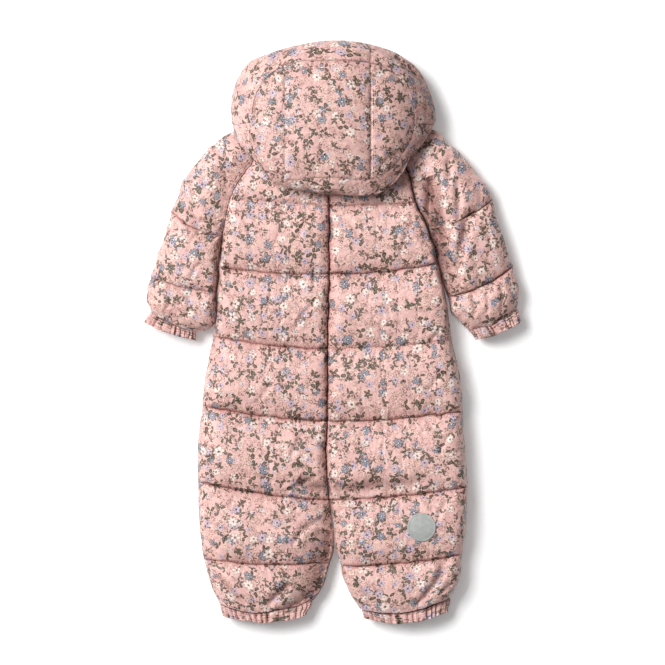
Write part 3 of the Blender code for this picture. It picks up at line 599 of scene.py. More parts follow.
def simulate(jobs, frames=24):
    """Puffs all the sheets at once; jobs is {name: (points, held, pressure, slack, travel)}."""
    scene = bpy.context.scene
    made = {}
    for name, (points, held, pressure, slack, _) in jobs.items():
        rows, cols = points.shape[:2]
        mesh = bpy.data.meshes.new("sim_" + name)
        quads = faces_of(rows, cols, turned_in(points))
        mesh.from_pydata((points.reshape(-1, 3) * MM).tolist(), [], quads.tolist())
        sheet = bpy.data.objects.new("sim_" + name, mesh)
        scene.collection.objects.link(sheet)
        group = sheet.vertex_groups.new(name="held")
        group.add(np.flatnonzero(held.ravel()).tolist(), 1.0, "REPLACE")
        cloth = sheet.modifiers.new("cloth", "CLOTH")
        for word, value in CLOTH.items():
            setattr(cloth.settings, word, value)
        cloth.settings.uniform_pressure_force = pressure
        cloth.settings.shrink_min = -slack
        cloth.settings.effector_weights.gravity = 0
        cloth.collision_settings.use_collision = False
        cloth.point_cache.frame_start, cloth.point_cache.frame_end = 1, frames
        made[name] = sheet
    for number in range(1, frames + 1):
        scene.frame_set(number)
    depsgraph = bpy.context.evaluated_depsgraph_get()
    found = {}
    for name, sheet in made.items():
        points, travel = jobs[name][0], jobs[name][4]
        posed = sheet.evaluated_get(depsgraph).to_mesh()
        moved = np.empty(len(posed.vertices) * 3)
        posed.vertices.foreach_get("co", moved)
        move = moved.reshape(points.shape) / MM - points
        far = np.linalg.norm(move, axis=-1, keepdims=True)
        found[name] = points + move * np.minimum(1, travel / np.maximum(far, 1e-9))
    for sheet in made.values():
        bpy.data.objects.remove(sheet)
    scene.frame_set(1)
    return found


def finer(values, parts):
    """A grid with each cell divided, along Catmull-Rom curves."""
    for axis in (0, 1):
        moved = np.moveaxis(values, axis, 0)
        count = len(moved)
        at = np.linspace(0, count - 1, (count - 1) * parts + 1)
        i = np.minimum(at.astype(int), count - 2)
        t = (at - i).reshape(-1, *([1] * (moved.ndim - 1)))
        p0, p1 = moved[np.maximum(i - 1, 0)], moved[i]
        p2, p3 = moved[i + 1], moved[np.minimum(i + 2, count - 1)]
        made = 2 * p1 + (p2 - p0) * t + (2 * p0 - 5 * p1 + 4 * p2 - p3) * t**2
        values = np.moveaxis(0.5 * (made + (3 * p1 - p0 - 3 * p2 + p3) * t**3), 0, axis)
    return values


FAR = 1e3  # away from any line


def lengths(points, axis):
    """Length along the grid from its first row or column."""
    gaps = np.linalg.norm(np.diff(points, axis=axis), axis=-1)
    start = np.zeros_like(np.take(gaps, [0], axis))
    return np.concatenate([start, np.cumsum(gaps, axis)], axis)


def normals_of(points, flip):
    across = np.gradient(points, axis=1)
    down = np.gradient(points, axis=0)
    normal = np.cross(across, down) * (-1 if flip else 1)
    return normal / np.maximum(np.linalg.norm(normal, axis=-1, keepdims=True), 1e-9)


def print_map(points, anchor):
    """The cloth laid out flat, in mm: each row runs out from the anchor column."""
    middle = points[:, anchor]
    steps = np.diff(middle, axis=0)
    flat = np.linalg.norm(steps[:, :2], axis=1, keepdims=True)
    full = np.linalg.norm(steps, axis=1, keepdims=True)
    path = np.concatenate([middle[:1, :2], steps[:, :2] * full / np.maximum(flat, 0.3 * full)]).cumsum(0)
    chord = middle[:, :2] - points[:, 0, :2]
    if anchor == 0:
        chord = points[:, -1, :2] - middle[:, :2]
    chord /= np.maximum(np.linalg.norm(chord, axis=1, keepdims=True), 1e-9)
    along = lengths(points, 1)
    along = along - along[:, anchor : anchor + 1]
    return path[:, None] + along[..., None] * chord[:, None]


def nearest_line(points, rows, cols):
    """At each point, (length along, distance, strength) of the nearest of some rows and columns."""
    found = np.zeros((3, *points.shape[:2]))
    found[1] = FAR
    for axis, marks in enumerate((rows, cols)):
        far, along = lengths(points, axis), lengths(points, 1 - axis)
        for which, strength in marks:
            away = np.abs(far - np.take(far, [which], axis))
            found = np.where(away < found[1], np.broadcast_arrays(along, away, strength), found)
    return grid(*found)


def creased(points, folds):
    """How much lower each point of the grid lies for its folds."""
    total = np.zeros(points.shape[:2])
    plan = points[..., :2]
    t = np.linspace(0, 1, 61)[:, None]
    for row in folds:
        fold = dict(zip(FOLD_COLUMNS, row))
        a, b, c = (np.array([fold["x" + k], fold["y" + k]], float) for k in "123")
        path = a * (1 - t) ** 2 + (4 * b - a - c) * t * (1 - t) + c * t**2
        reach = 4 * fold["width"]
        near = ((plan > path.min(0) - reach) & (plan < path.max(0) + reach)).all(-1)
        gaps = np.linalg.norm(plan[near][:, None] - path, axis=-1)
        place = t[gaps.argmin(1), 0] if near.any() else np.zeros(0)
        away = gaps.min(1) / fold["width"] if near.any() else np.zeros(0)
        taper = (4 * place * (1 - place)) ** 0.3
        dent = np.exp(-(away**2)) - 0.18 * np.exp(-(((away - 2.3) / 1.1) ** 2))  # a low ridge beside it
        total[near] += fold["depth"] * taper * dent
    return total


def shifted(points, *names):
    """Moved as SHIFTS says, and a little unevenly, so that no seam runs quite straight."""
    moved = points.copy()
    plan = points[..., 0], points[..., 1]
    slack = WAVER if "hood" not in names and "front" not in names else 0.0
    for axis in (0, 1):
        wide, small = waves(*plan, 30, 900 + axis), waves(*plan, 13, 910 + axis)
        moved[..., axis] += slack * wide + 0.5 * slack * small
    for row in SHIFTS:
        shift = dict(zip(SHIFT_COLUMNS, row))
        if set(names) & set(shift["names"].split()):
            away = np.hypot(points[..., 0] - shift["x"], points[..., 1] - shift["y"]) / shift["reach"]
            share = np.exp(-(away**2))
            moved[..., 0] += share * shift["dx"]
            moved[..., 1] += share * shift["dy"]
    return moved


def puckered(points, quilting, seams, seed):
    """Short wrinkles that run off the quilting lines and the seams."""
    x, y = points[..., 0], points[..., 1]
    patchy = 0.6 + 0.5 * waves(x, y, 55, seed + 2)
    total = 0
    fields = waves(x, y * 0.3, 12, seed), waves(x * 0.3, y, 12, seed + 1)
    for line, field in zip((quilting, seams), fields):
        away = line[..., 1]
        wrinkles = patchy * line[..., 2] * field
        total = total + wrinkles * np.exp(-away / 9) * (1 - np.exp(-((away / 2) ** 2)))
    return total


# ---- meshes ----
def shell(name, outer, inner, flip, lines, laid, look, slot="shell_fabric", coarse=4, ring=False):
    """A closed wall: the outer grid, a coarser inner grid and a rim between them."""
    rows, cols = outer.shape[:2]
    low_rows, low_cols = (np.unique(np.append(np.arange(0, n, coarse), n - 1)) for n in (rows, cols))
    if ring:
        low_cols = np.arange(0, cols, coarse)
    low_shape = len(low_rows), len(low_cols)

    def thinned(values):
        return values[np.ix_(low_rows, low_cols)].reshape(-1, values.shape[-1])

    def on_both(values):
        return np.concatenate([values.reshape(-1, values.shape[-1]), thinned(values)]).astype(np.float32)

    base = rows * cols
    faces = faces_of(rows, cols, flip, 0, ring).tolist()
    visible = len(faces)
    faces += faces_of(*low_shape, not flip, base, ring).tolist()
    hidden_end = len(faces)
    high = np.arange(base).reshape(rows, cols)
    low = base + np.arange(low_shape[0] * low_shape[1]).reshape(low_shape)
    if ring:
        high, low = (np.concatenate([n, n[:, :1]], 1) for n in (high, low))
        stops = np.append(low_cols, cols)
        edges = [(high[0], low[0], stops, True), (high[-1], low[-1], stops, False)]
    else:
        edges = [(high[0], low[0], low_cols, True), (high[-1], low[-1], low_cols, False)]
        edges += [(high[:, 0], low[:, 0], low_rows, False), (high[:, -1], low[:, -1], low_rows, True)]
    for top, bottom, stops, backward in edges:
        for k in range(len(stops) - 1):
            face = [*top[stops[k] : stops[k + 1] + 1], bottom[k + 1], bottom[k]]
            faces.append([int(i) for i in (face[::-1] if backward != flip else face)])
    mesh = bpy.data.meshes.new(name)
    mesh.from_pydata((np.concatenate([outer.reshape(-1, 3), thinned(inner)]) * MM).tolist(), [], faces)

    # The bake's map: the outer grid above, the inner one below and the rim in a strip between them.
    corner = np.empty(len(mesh.loops), int)
    mesh.loops.foreach_get("vertex_index", corner)
    counts = np.array([len(f) for f in faces])
    of_face = np.repeat(np.arange(len(faces)), counts)
    spot = np.zeros((len(corner), 2))

    def chart(first, end, start, shape, bottom, height):
        r, c = np.divmod(corner - start, shape[1])
        last_col = (of_face - first) % shape[1] == shape[1] - 1
        c = np.where(ring & last_col & (c == 0), shape[1], c)
        across = 0.005 + 0.99 * c / (shape[1] - 1 + ring)
        here = (of_face >= first) & (of_face < end)
        spot[here] = np.stack([across, bottom + height * r / (shape[0] - 1)], -1)[here]

    chart(0, visible, 0, (rows, cols), 0.2, 0.79)
    chart(visible, hidden_end, base, low_shape, 0.01, 0.14)
    starts, rim = np.cumsum(counts) - counts, len(faces) - hidden_end
    wide = 0.4 * 0.99 / rim
    for place in range(rim):
        begin, size = starts[hidden_end + place], counts[hidden_end + place]
        middle = 0.005 + 0.99 * place / rim + wide
        turn = np.linspace(0, 2 * math.pi, size, endpoint=False)
        oval = [middle + wide * np.cos(turn), 0.175 + 0.012 * np.sin(turn)]
        spot[begin : begin + size] = np.stack(oval, -1)
    for word, flat in (("Print", on_both(laid)[corner]), ("OFBake", spot.astype(np.float32))):
        mesh.uv_layers.new(name=word).uv.foreach_set("vector", flat.ravel())
    mesh.uv_layers.active = mesh.uv_layers["Print"]
    for word, values in lines.items():
        layer = mesh.attributes.new(word, "FLOAT_VECTOR", "POINT")
        layer.data.foreach_set("vector", on_both(values).ravel())
    mesh.shade_smooth()
    mesh.set_sharp_from_angle(angle=math.radians(60))
    mesh.validate()
    piece = bpy.data.objects.new(name + "_cloth", mesh)
    bpy.context.scene.collection.objects.link(piece)
    mesh.materials.append(look)
    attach(piece, "suit")
    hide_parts(name)
    return piece


# ---- materials ----
class Num:
    """A number in a node tree, so that shader maths reads as ordinary sums."""

    def __init__(self, tree, socket):
        self.tree, self.socket = tree, socket

    def math(self, operation, *others):
        node = self.tree.nodes.new("ShaderNodeMath")
        node.operation = operation
        for slot, value in zip(node.inputs, (self, *others)):
            plug(self.tree, value, slot)
        return Num(self.tree, node.outputs[0])

    def __add__(self, other):
        return self.math("ADD", other)

    def __sub__(self, other):
        return self.math("SUBTRACT", other)

    def __mul__(self, other):
        return self.math("MULTIPLY", other)

    def __truediv__(self, other):
        return self.math("DIVIDE", other)

    def under(self, limit, soft):
        """1 below the limit and 0 above it, changing over soft."""
        node = self.tree.nodes.new("ShaderNodeMapRange")
        node.interpolation_type = "SMOOTHSTEP"
        for slot, value in zip(node.inputs, (self, limit - soft, limit + soft, 1, 0)):
            plug(self.tree, value, slot)
        return Num(self.tree, node.outputs["Result"])


def plug(tree, value, slot):
    if isinstance(value, Num):
        tree.links.new(value.socket, slot)
    elif isinstance(value, bpy.types.NodeSocket):
        tree.links.new(value, slot)
    else:
        slot.default_value = value


def add(tree, kind, *first, **values):
    """A node, with its first sockets, its sockets by name (with a capital) and its properties."""
    node = tree.nodes.new("ShaderNode" + kind)
    for name, value in values.items():
        if name[0].isupper():
            plug(tree, value, node.inputs[name.replace("_", " ")])
        else:
            setattr(node, name, value)
    for slot, value in zip(node.inputs, first):
        plug(tree, value, slot)
    return node


def colour(red, green, blue):
    """A colour as seen on a screen, in the renderer's linear values."""
    return (*[((c + 0.055) / 1.055) ** 2.4 if c > 0.04 else c / 12.92 for c in (red, green, blue)], 1.0)


def mix(tree, share, below, above, how="MIX"):
    node = add(tree, "Mix", data_type="RGBA", blend_type=how)
    for slot, value in zip((0, 6, 7), (share, below, above)):
        plug(tree, value, node.inputs[slot])
    return node.outputs[2]


def noise(tree, where, scale, detail=2.0, dimensions="2D"):
    node = add(tree, "TexNoise", noise_dimensions=dimensions, Vector=where, Scale=scale, Detail=detail)
    return Num(tree, node.outputs[0])


def axes(tree, vector):
    return [Num(tree, socket) for socket in add(tree, "SeparateXYZ", vector).outputs]


def carried(tree, name):
    """The three numbers that the mesh carries at its points under this name."""
    return axes(tree, add(tree, "Attribute", attribute_name=name).outputs["Vector"])


def material(name, **finish):
    """A new material, its tree and its shader; finish is the same all over the surface."""
    made = bpy.data.materials.new(name)
    made.use_nodes = True
    shader = made.node_tree.nodes["Principled BSDF"]
    for socket, value in finish.items():
        shader.inputs[socket.replace("_", " ")].default_value = value
    return made, made.node_tree, shader


def surface(tree, shader, paint, height, strength, distance=0.001):
    plug(tree, paint, shader.inputs["Base Color"])
    bump = add(tree, "Bump", Strength=strength, Distance=distance, Height=height)
    plug(tree, bump.outputs[0], shader.inputs["Normal"])


def rosette_group():
    """One motif of a scattered print: petals or leaves round the middle of each random cell."""
    tree = bpy.data.node_groups.new("rosette", "ShaderNodeTree")
    inputs = "Vector Cell Petals Vary Reach Long Wide Keep Lost Loose"
    outputs = "Petal Rim Core Radius Kept Turn"
    for words, way in ((inputs, "INPUT"), (outputs, "OUTPUT")):
        for word in words.split():
            kind = "NodeSocketVector" if word == "Vector" else "NodeSocketFloat"
            tree.interface.new_socket(word, in_out=way, socket_type=kind)
    source = tree.nodes.new("NodeGroupInput")
    get = {s.name: Num(tree, s) for s in source.outputs if s.name}
    where, scale, loose = get["Vector"], get["Cell"].math("POWER", -1.0), get["Loose"]
    cells = add(tree, "TexVoronoi", voronoi_dimensions="2D", Vector=where, Scale=scale, Randomness=loose)
    local = add(tree, "VectorMath", where, cells.outputs["Position"], operation="SUBTRACT")
    x, y, _ = axes(tree, local.outputs[0])
    chance = add(tree, "SeparateColor", Color=cells.outputs["Color"])
    red, green, blue = (Num(tree, socket) for socket in chance.outputs)
    size = green * 0.5 + 0.75  # no two motifs are the same size
    radius = (x * x + y * y).math("SQRT") / size
    count = get["Petals"] + ((blue * 13.0).math("FRACT") * get["Vary"]).math("FLOOR")
    turn = y.math("ARCTAN2", x) / (2 * math.pi) + 1.0 + blue * 7.0
    sector = turn * count
    part = sector.math("FLOOR")
    within = (sector - part - 0.5) / count * (2 * math.pi)
    p = (radius * within.math("COSINE") - get["Reach"]) / get["Long"]
    q = radius * within.math("SINE") / get["Wide"]
    egg = (p * p + q * q).math("SQRT")
    key = add(tree, "CombineXYZ", part, red * 57.0, blue * 31.0).outputs[0]
    luck = Num(tree, add(tree, "TexWhiteNoise", noise_dimensions="3D", Vector=key).outputs["Value"])
    kept = red.math("LESS_THAN", get["Keep"])
    there = luck.math("GREATER_THAN", get["Lost"]) * kept
    petal = egg.under(0.95, 0.12) * there
    rim = petal * (egg * -1.0 + 1.0).under(0.32, 0.08)
    sink = tree.nodes.new("NodeGroupOutput")
    for slot, value in zip(sink.inputs, (petal, rim, egg.under(0.5, 0.2) * there, radius, kept, turn)):
        plug(tree, value, slot)
    return tree


# Motifs of the print, the lowest first. cell = mm between them, keep = share of the cells in use, lost =
# share of the petals left off, eye_at = radius of the eye. fill, rim, core and eye are strength, red, green
# and blue.
MOTIF_COLUMNS = "cell loose petals vary reach long wide keep lost eye_at fill rim core eye".split()
MOTIFS = (
    (9, 0.8, 5, 2, 1.5, 1.5, 1.3, 0.6, 0.0, 0.6,
     (0.5, 0.94, 0.82, 0.74), (0.4, 0.7, 0.48, 0.42), 0, (0.6, 0.58, 0.38, 0.33)),
    (20, 0.7, 5, 2, 3.0, 2.2, 1.9, 0.6, 0.0, 0.8,
     (0.3, 0.95, 0.84, 0.77), (0.6, 0.58, 0.42, 0.37), 0, (0.5, 0.55, 0.39, 0.33)),
    (7.0, 0.9, 2, 3, 2.0, 1.3, 0.5, 0.55, 0.25, 0,
     (0.75, 0.52, 0.38, 0.33), 0, 0, 0),
    (10, 0.85, 5, 4, 2.5, 1.6, 0.55, 0.75, 0.4, 0,
     (0.8, 0.46, 0.34, 0.29), 0, 0, 0),
    (15, 0.8, 6, 3, 3.4, 2.5, 0.8, 0.6, 0.45, 0,
     (0.9, 0.36, 0.28, 0.23), 0, 0, 0),
    (17, 0.8, 4, 2, 3.3, 2.8, 1.5, 0.66, 0.3, 0,
     (0.95, 0.38, 0.34, 0.28), (0.95, 0.19, 0.14, 0.12), (0.8, 0.46, 0.42, 0.35), 0),
    (21, 0.8, 3, 2, 4.3, 3.5, 2.0, 0.62, 0.1, 0,
     (0.95, 0.37, 0.34, 0.28), (0.95, 0.17, 0.13, 0.11), (0.8, 0.45, 0.42, 0.35), 0),
    (20, 0.7, 6, 3, 2.9, 2.5, 1.3, 0.38, 0.05, 0.9,
     (0.8, 0.79, 0.73, 0.78), (0.85, 0.46, 0.38, 0.47), 0, (0.9, 0.3, 0.25, 0.33)),
    (25, 0.75, 6, 3, 3.6, 3.1, 1.7, 0.36, 0.1, 0.9,
     (0.85, 0.47, 0.49, 0.54), (0.95, 0.24, 0.22, 0.26), (0.5, 0.66, 0.66, 0.69), (0.9, 0.88, 0.84, 0.82)),
    (24, 0.7, 5, 3, 3.4, 3.1, 2.1, 0.44, 0.05, 0.9,
     (0.85, 0.93, 0.86, 0.82), (0.75, 0.52, 0.38, 0.35), 0, (0.95, 0.3, 0.22, 0.22)),
    (15, 0.8, 5, 1, 1.6, 1.4, 1.1, 0.3, 0.0, 0.6,
     (0.75, 0.9, 0.83, 0.82), (0.6, 0.52, 0.44, 0.5), 0, (0.9, 0.34, 0.29, 0.35)),
)
STEMMED = 3  # the motif that stands on bent stems


def print_group():
    """The all-over print: small flowers, leaves and sprigs on pink, from a position in mm."""
    motif = rosette_group()
    tree = bpy.data.node_groups.new("print", "ShaderNodeTree")
    tree.interface.new_socket("Vector", in_out="INPUT", socket_type="NodeSocketVector")
    tree.interface.new_socket("Color", in_out="OUTPUT", socket_type="NodeSocketColor")
    base = tree.nodes.new("NodeGroupInput").outputs[0]
    vector = base
    for scale, reach in ((0.1, 4.0), (0.4, 1.5)):  # drawn by hand, so nothing is quite even
        drift = add(tree, "TexNoise", noise_dimensions="2D", Vector=base, Scale=scale, Detail=1.0)
        moved = add(tree, "VectorMath", drift.outputs["Color"], operation="SCALE", Scale=reach)
        vector = add(tree, "VectorMath", vector, moved.outputs[0], operation="ADD").outputs[0]
    paint = mix(tree, (noise(tree, base, 0.05) - 0.4) * 4.0, colour(*GROUND[0]), colour(*GROUND[1]))
    paint = mix(tree, (noise(tree, base, 0.45) - 0.52) * 2.2, paint, colour(*GROUND[2]))
    for number, row in enumerate(MOTIFS):
        look = dict(zip(MOTIF_COLUMNS, row))
        place = add(tree, "Mapping", Vector=vector, Location=(37.0 * number, 61.0 * number, 0))
        shape = {word.capitalize(): look[word] for word in MOTIF_COLUMNS[:9]}
        node = add(tree, "Group", node_tree=motif, Vector=place.outputs[0], **shape)
        out = {s.name: Num(tree, s) for s in node.outputs}
        eye = out["Radius"].under(look["eye_at"], 0.25) * out["Kept"] if look["eye_at"] else None
        masks = {"fill": out["Petal"], "core": out["Core"], "rim": out["Rim"], "eye": eye}
        for part, mask in masks.items():
            if look[part]:
                strength, *tint = look[part]
                paint = mix(tree, mask * strength, paint, colour(*tint))
        if number == STEMMED:
            arc = (out["Radius"] - 4.6).math("ABSOLUTE").under(0.4, 0.2)
            arc = arc * out["Turn"].math("FRACT").under(0.42, 0.02) * out["Kept"]
            paint = mix(tree, arc * 0.75, paint, colour(0.50, 0.42, 0.34))
    value = add(tree, "HueSaturation", Color=paint, Value=noise(tree, base, 1.3) * 0.22 + 0.89)
    plug(tree, value.outputs[0], tree.nodes.new("NodeGroupOutput").inputs[0])
    return tree


STITCH = 2.6  # from one stitch to the next
STITCH_ROWS = (1.9, 5.2)  # how far from a stitched seam its rows run


def fabric(name, print_tree, offset, turn, shade_factor):
    """Satin-faced quilted polyester with the print; its last argument darkens the whole piece evenly, as
    painted shade.
    """
    sheen = {"Sheen_Weight": 0.08, "Sheen_Roughness": 0.35}
    made, tree, shader = material(name, Roughness=0.46, Specular_IOR_Level=0.35, **sheen)
    flat = add(tree, "UVMap", uv_map="Print").outputs[0]
    base = add(tree, "Mapping", Vector=flat, Location=(*offset, 0), Rotation=(0, 0, turn)).outputs[0]
    printed = add(tree, "Group", node_tree=print_tree, Vector=base).outputs[0]
    paint = mix(tree, 1.0, printed, (shade_factor, shade_factor, shade_factor, 1.0), "MULTIPLY")

    # Painted shade in the valleys beside the quilting lines and seams and in the folds, a painted dark
    # crease shadow along each line and seam, and dashes of thread.
    _, q_away, q_dark = carried(tree, "quilting")
    _, s_away, s_dark = carried(tree, "seams")
    t_along, t_away, t_size = carried(tree, "stitching")
    fold_shade_depth = carried(tree, "folds")[0]
    q_near, s_near = ((away * -0.16).math("EXPONENT") for away in (q_away, s_away))
    patchy = noise(tree, base, 0.035) * 1.9 - 0.2
    shade = (q_near * q_dark * patchy * 0.6).math("MAXIMUM", s_near * s_dark * 0.7)
    paint = mix(tree, shade, paint, VALLEY, "MULTIPLY")
    # Painted shade in the folds, darker the deeper each fold is.
    paint = mix(tree, fold_shade_depth * 0.095, paint, FOLD_SHADE, "MULTIPLY")
    loose = noise(tree, base, 0.16) * 2.4
    # Painted crease shadow: a dark line along each quilting line.
    line = (q_away * loose).under(0.9, 0.7) * (q_dark * 0.5 + 0.1) * (patchy * 0.5 + 0.6)
    paint = mix(tree, line, paint, colour(0.30, 0.15, 0.14))
    # Painted crease shadow along the seams, darker still.
    paint = mix(tree, (s_away * loose).under(1.5, 0.9) * s_dark * 0.85, paint, colour(0.16, 0.08, 0.08))
    dash = (t_along / STITCH).math("FRACT").under(0.68, 0.06)
    near_row, far_row = ((t_away - away).math("ABSOLUTE").under(0.45, 0.15) for away in STITCH_ROWS)
    pressed = (near_row + far_row) * t_size
    thread = pressed * dash
    paint = mix(tree, thread * 0.8, paint, colour(0.93, 0.76, 0.73))

    # Surface: crinkles in the cloth, its weave and the stitching.
    yarn = {"Vector": base, "Scale": 0.9, "Distortion": 0.4}
    warp, weft = (add(tree, "TexWave", bands_direction=way, **yarn) for way in "XY")
    height = noise(tree, base, 0.13, 3.0) * 1.5
    height = height + Num(tree, warp.outputs[1]) * 0.03 + Num(tree, weft.outputs[1]) * 0.03
    surface(tree, shader, paint, height - pressed * 0.3 + thread * 0.2, 0.6)
    return made


def film(name):
    """Grey reflective film: a fine lattice of prisms, with stitching in its rim."""
    made, tree, shader = material(name, Roughness=0.5, Metallic=0.15, Specular_IOR_Level=0.3)
    flat = add(tree, "UVMap", uv_map="Print").outputs[0]
    cells = add(tree, "TexVoronoi", voronoi_dimensions="2D", Vector=flat, Scale=1.1, Randomness=0.1)
    prism, stain = Num(tree, cells.outputs["Distance"]), noise(tree, flat, 0.12, 3.0)
    along, away, _ = carried(tree, "stitching")
    thread = away.under(0.45, 0.2) * (along / STITCH).math("FRACT").under(0.7, 0.08)
    paint = mix(tree, (stain - 0.35) * 2.2, colour(0.60, 0.61, 0.60), colour(0.67, 0.68, 0.67))
    paint = mix(tree, prism.under(0.25, 0.2) * 0.3, paint, colour(0.74, 0.75, 0.74))
    paint = mix(tree, thread * 0.3, paint, colour(0.52, 0.52, 0.52))
    surface(tree, shader, paint, prism * -0.05 + thread * 0.12 + stain * 0.25, 0.5)
    return made


def plain(name, tint, roughness, metallic, scale, bump, spread):
    """A simple surface with a fine grain, for the hard pieces and the floor."""
    made, tree, shader = material(name, Roughness=roughness, Metallic=metallic)
    where = add(tree, "TexCoord").outputs["Object"]
    grain = noise(tree, where, scale, dimensions="3D")
    dark = (*(c * (1 - spread) for c in tint[:3]), 1.0)
    surface(tree, shader, mix(tree, grain, dark, tint), grain, bump, 0.0003)
    return made


# ---- the pieces ----
def on_quilting(v):
    return np.abs(v / 2 - np.round(v / 2)) < 1e-6


def held_rows(points, v, quilted):
    held = np.zeros(points.shape[:2], bool)
    held[0] = held[-1] = held[:, 0] = held[:, -1] = True
    if quilted:
        held[on_quilting(v)] = True
    return held


BODIES = {"left": (BODY_LEFT, LEFT, SLEEVE_LEFT), "right": (BODY_RIGHT, RIGHT, SLEEVE_RIGHT)}
grids = {}
for word, (table, side, arm) in BODIES.items():
    grids["back_" + word] = body_grid(table, side, 0)
    grids["front_" + word] = body_grid(table, side, 1)
    grids["sleeve_" + word] = sleeve_grid(arm, table, side)
grids["hood_centre"] = hood_panel_grid(0)
grids["hood_side_left"] = hood_panel_grid(LEFT)
grids["hood_side_right"] = hood_panel_grid(RIGHT)
grids["hood_brim"] = hood_band_grid(*BRIM_ENDS)
grids["hood_neck_band"] = hood_band_grid(BRIM_ENDS[1] + 0.15, BRIM_ENDS[0] + 359.85)

# pressure, slack in the cloth and the most that a point may travel
PUFF = {"back": (16, 0.01, 12), "front": (15, 0.02, 8), "sleeve": (13, 0.018, 9), "hood": (9, 0.015, 6)}
jobs = {}
for name, (outer, inner, v) in grids.items():
    kind = name.split("_")[0]
    held = held_rows(outer, v, kind != "hood")
    jobs[name] = (outer, held, *PUFF[kind])
puffed = simulate(jobs)

print_tree = print_group()
prints = {}
for number, name in enumerate(list(grids) + list(CUFFS)):
    offset = (137.0 * number % 911, 71.0 * number % 613)
    # The hood's pieces are printed a little darker, as painted shade.
    shade_factor = 0.95 if name.startswith("hood") else 1.0
    prints[name] = fabric("print_" + name, print_tree, offset, 0.3 * math.sin(number * 2.1), shade_factor)


def seam_lines(name, fine, v, parts):
    """The quilting, the seams and the stitched seams of a panel, each as nearest_line gives it."""
    kind = name.split("_")[0]
    side = RIGHT if name.endswith("right") else LEFT
    none = nearest_line(fine, [], [])
    if kind == "hood":
        mark = seam_mark(polar(fine[..., 0], fine[..., 1])[0])
        if name == "hood_centre":
            cols = [(0, PANEL_MARKS[LEFT]), (-1, PANEL_MARKS[RIGHT])]
            return none, nearest_line(fine, [(0, mark[0]), (-1, mark[-1])], cols), none
        if name.startswith("hood_side"):
            seams = nearest_line(fine, [], [(0, PANEL_MARKS[side]), (-1, mark[:, -1:])])
            return none, seams, nearest_line(fine, [], [(0, 1.0)] if side == RIGHT else [])
        seams = nearest_line(fine, [(0, 0.03), (-1, 0.03)], [(0, mark[:, :1])])
        if name == "hood_neck_band":
            return none, seams, none
        # The right upright seam goes on over the brim.
        along, away = lengths(fine, 1), np.abs(fine[..., 0] - HOOD_SEAMS_X[1])
        away = np.where(fine[..., 1] > HOOD_CENTRE[1], away, FAR)
        closer = (away < seams[..., 1])[..., None]
        seams = np.where(closer, grid(along, away, PANEL_MARKS[RIGHT]), seams)
        return none, seams, grid(along, away, 1.0 * (fine[..., 0] > HOOD_SEAMS_X[1]))
    arm = kind == "sleeve"
    marks = QUILT_MARKS["sleeve" if arm else "body"][side]
    quilts = np.flatnonzero(on_quilting(v))[1:-1]
    quilting = nearest_line(fine, [(int(q) * parts, marks[round(v[q] / 2)]) for q in quilts], [])
    row = finer(np.repeat(v[:, None], 2, 1), parts)[:, :1]
    if name == "sleeve_right":  # the armhole's quilting line fades near the body
        quilting[..., 2] *= np.maximum(soft_ramp(fine[..., 0], 172, 192), np.abs(row - RAGLAN_ROWS) > 1)
    end = RAGLAN_ROWS if arm else ARMPIT_ROW
    raglan = ramp(row, end + 0.2, end - 0.2)
    centre = ramp(row, CROTCH_ROW + 0.2, CROTCH_ROW - 0.2) * CENTRE_MARK * (kind == "back")
    first, last = (RAGLAN_MARK[side] * raglan if arm else centre), RAGLAN_MARK[side] * raglan
    stitched = none if kind == "front" else nearest_line(fine, [], [(0 if arm else -1, raglan)])
    return quilting, nearest_line(fine, [], [(0, first), (-1, last)]), stitched


def patch_surface(points):
    """The smooth disc that the cloth under the patch is drawn to: its height at any place."""
    def terms(x, y):
        x, y = x - PATCH_CENTRE[0], y - PATCH_CENTRE[1]
        return np.stack([x**2, y**2, x * y, x, y, x * 0 + 1], -1)

    near = points[polar(points[..., 0], points[..., 1], PATCH_CENTRE)[1] < PATCH_RADIUS + 4]
    found = np.linalg.lstsq(terms(near[:, 0], near[:, 1]), near[:, 2], rcond=None)[0]
    return lambda x, y: terms(x, y) @ found


def ruffled(number, name, fine, hollow, flip, lines):
    """The panel with its folds, puckers and seams pressed in, and how deep its folds are, which sets the
    painted shade in them.
    """
    kind = name.split("_")[0]
    quilting, seams, _ = lines
    normal = normals_of(fine, flip)
    if kind != "hood":
        normal[..., :2] = 0
    folds = FOLDS.get(name.replace("front", "back"), ())
    if kind == "front":  # much the same on the hidden side, but not in the same places
        places = ([c * 0.93 + 9 * math.sin(k) for k, c in enumerate(row[:6])] for row in folds)
        folds = [(*place, *row[6:]) for place, row in zip(places, folds)]
    press = creased(fine, folds)
    # the hood's far side: painted shade over all its panels, with at most a fifth of it pressed in as a
    # shallow hollow
    deep = np.maximum(press, 0)
    if kind == "hood":  # the slack side, in a hollow that runs over all its panels
        slack = np.maximum(creased(fine, FOLDS[kind]), 0)
        deep += slack
        press += 0.2 * slack * soft_ramp(normal[..., 2], 0, 0.9)
    press = press - 0.45 * puckered(fine, quilting, seams, number * 5)
    crease, dip = QUILT_CREASE, QUILT_DIP
    narrow = crease["depth"] * np.exp(-((quilting[..., 1] / crease["width"]) ** 2))
    press += quilting[..., 2] * (narrow + dip["depth"] * np.exp(-quilting[..., 1] / dip["width"]))
    press += SEAM_CREASE[kind == "hood"] * seams[..., 2] * np.exp(-((seams[..., 1] / 2.0) ** 2))
    if kind != "hood":  # no crease goes through the wall
        press = np.minimum(press, np.maximum(np.abs(fine[..., 2] - hollow[..., 2]) - 0.8, 0))
    return fine - normal * press[..., None], deep


def flattened_for_patch(fine):
    """The cloth drawn flat under the patch, and the height of that disc at any place."""
    height = patch_surface(fine)
    reach = polar(fine[..., 0], fine[..., 1], PATCH_CENTRE)[1]
    share = soft_ramp(reach, PATCH_RADIUS + 6, PATCH_RADIUS + 1)
    fine[..., 2] += share * (height(fine[..., 0], fine[..., 1]) - fine[..., 2])
    return height


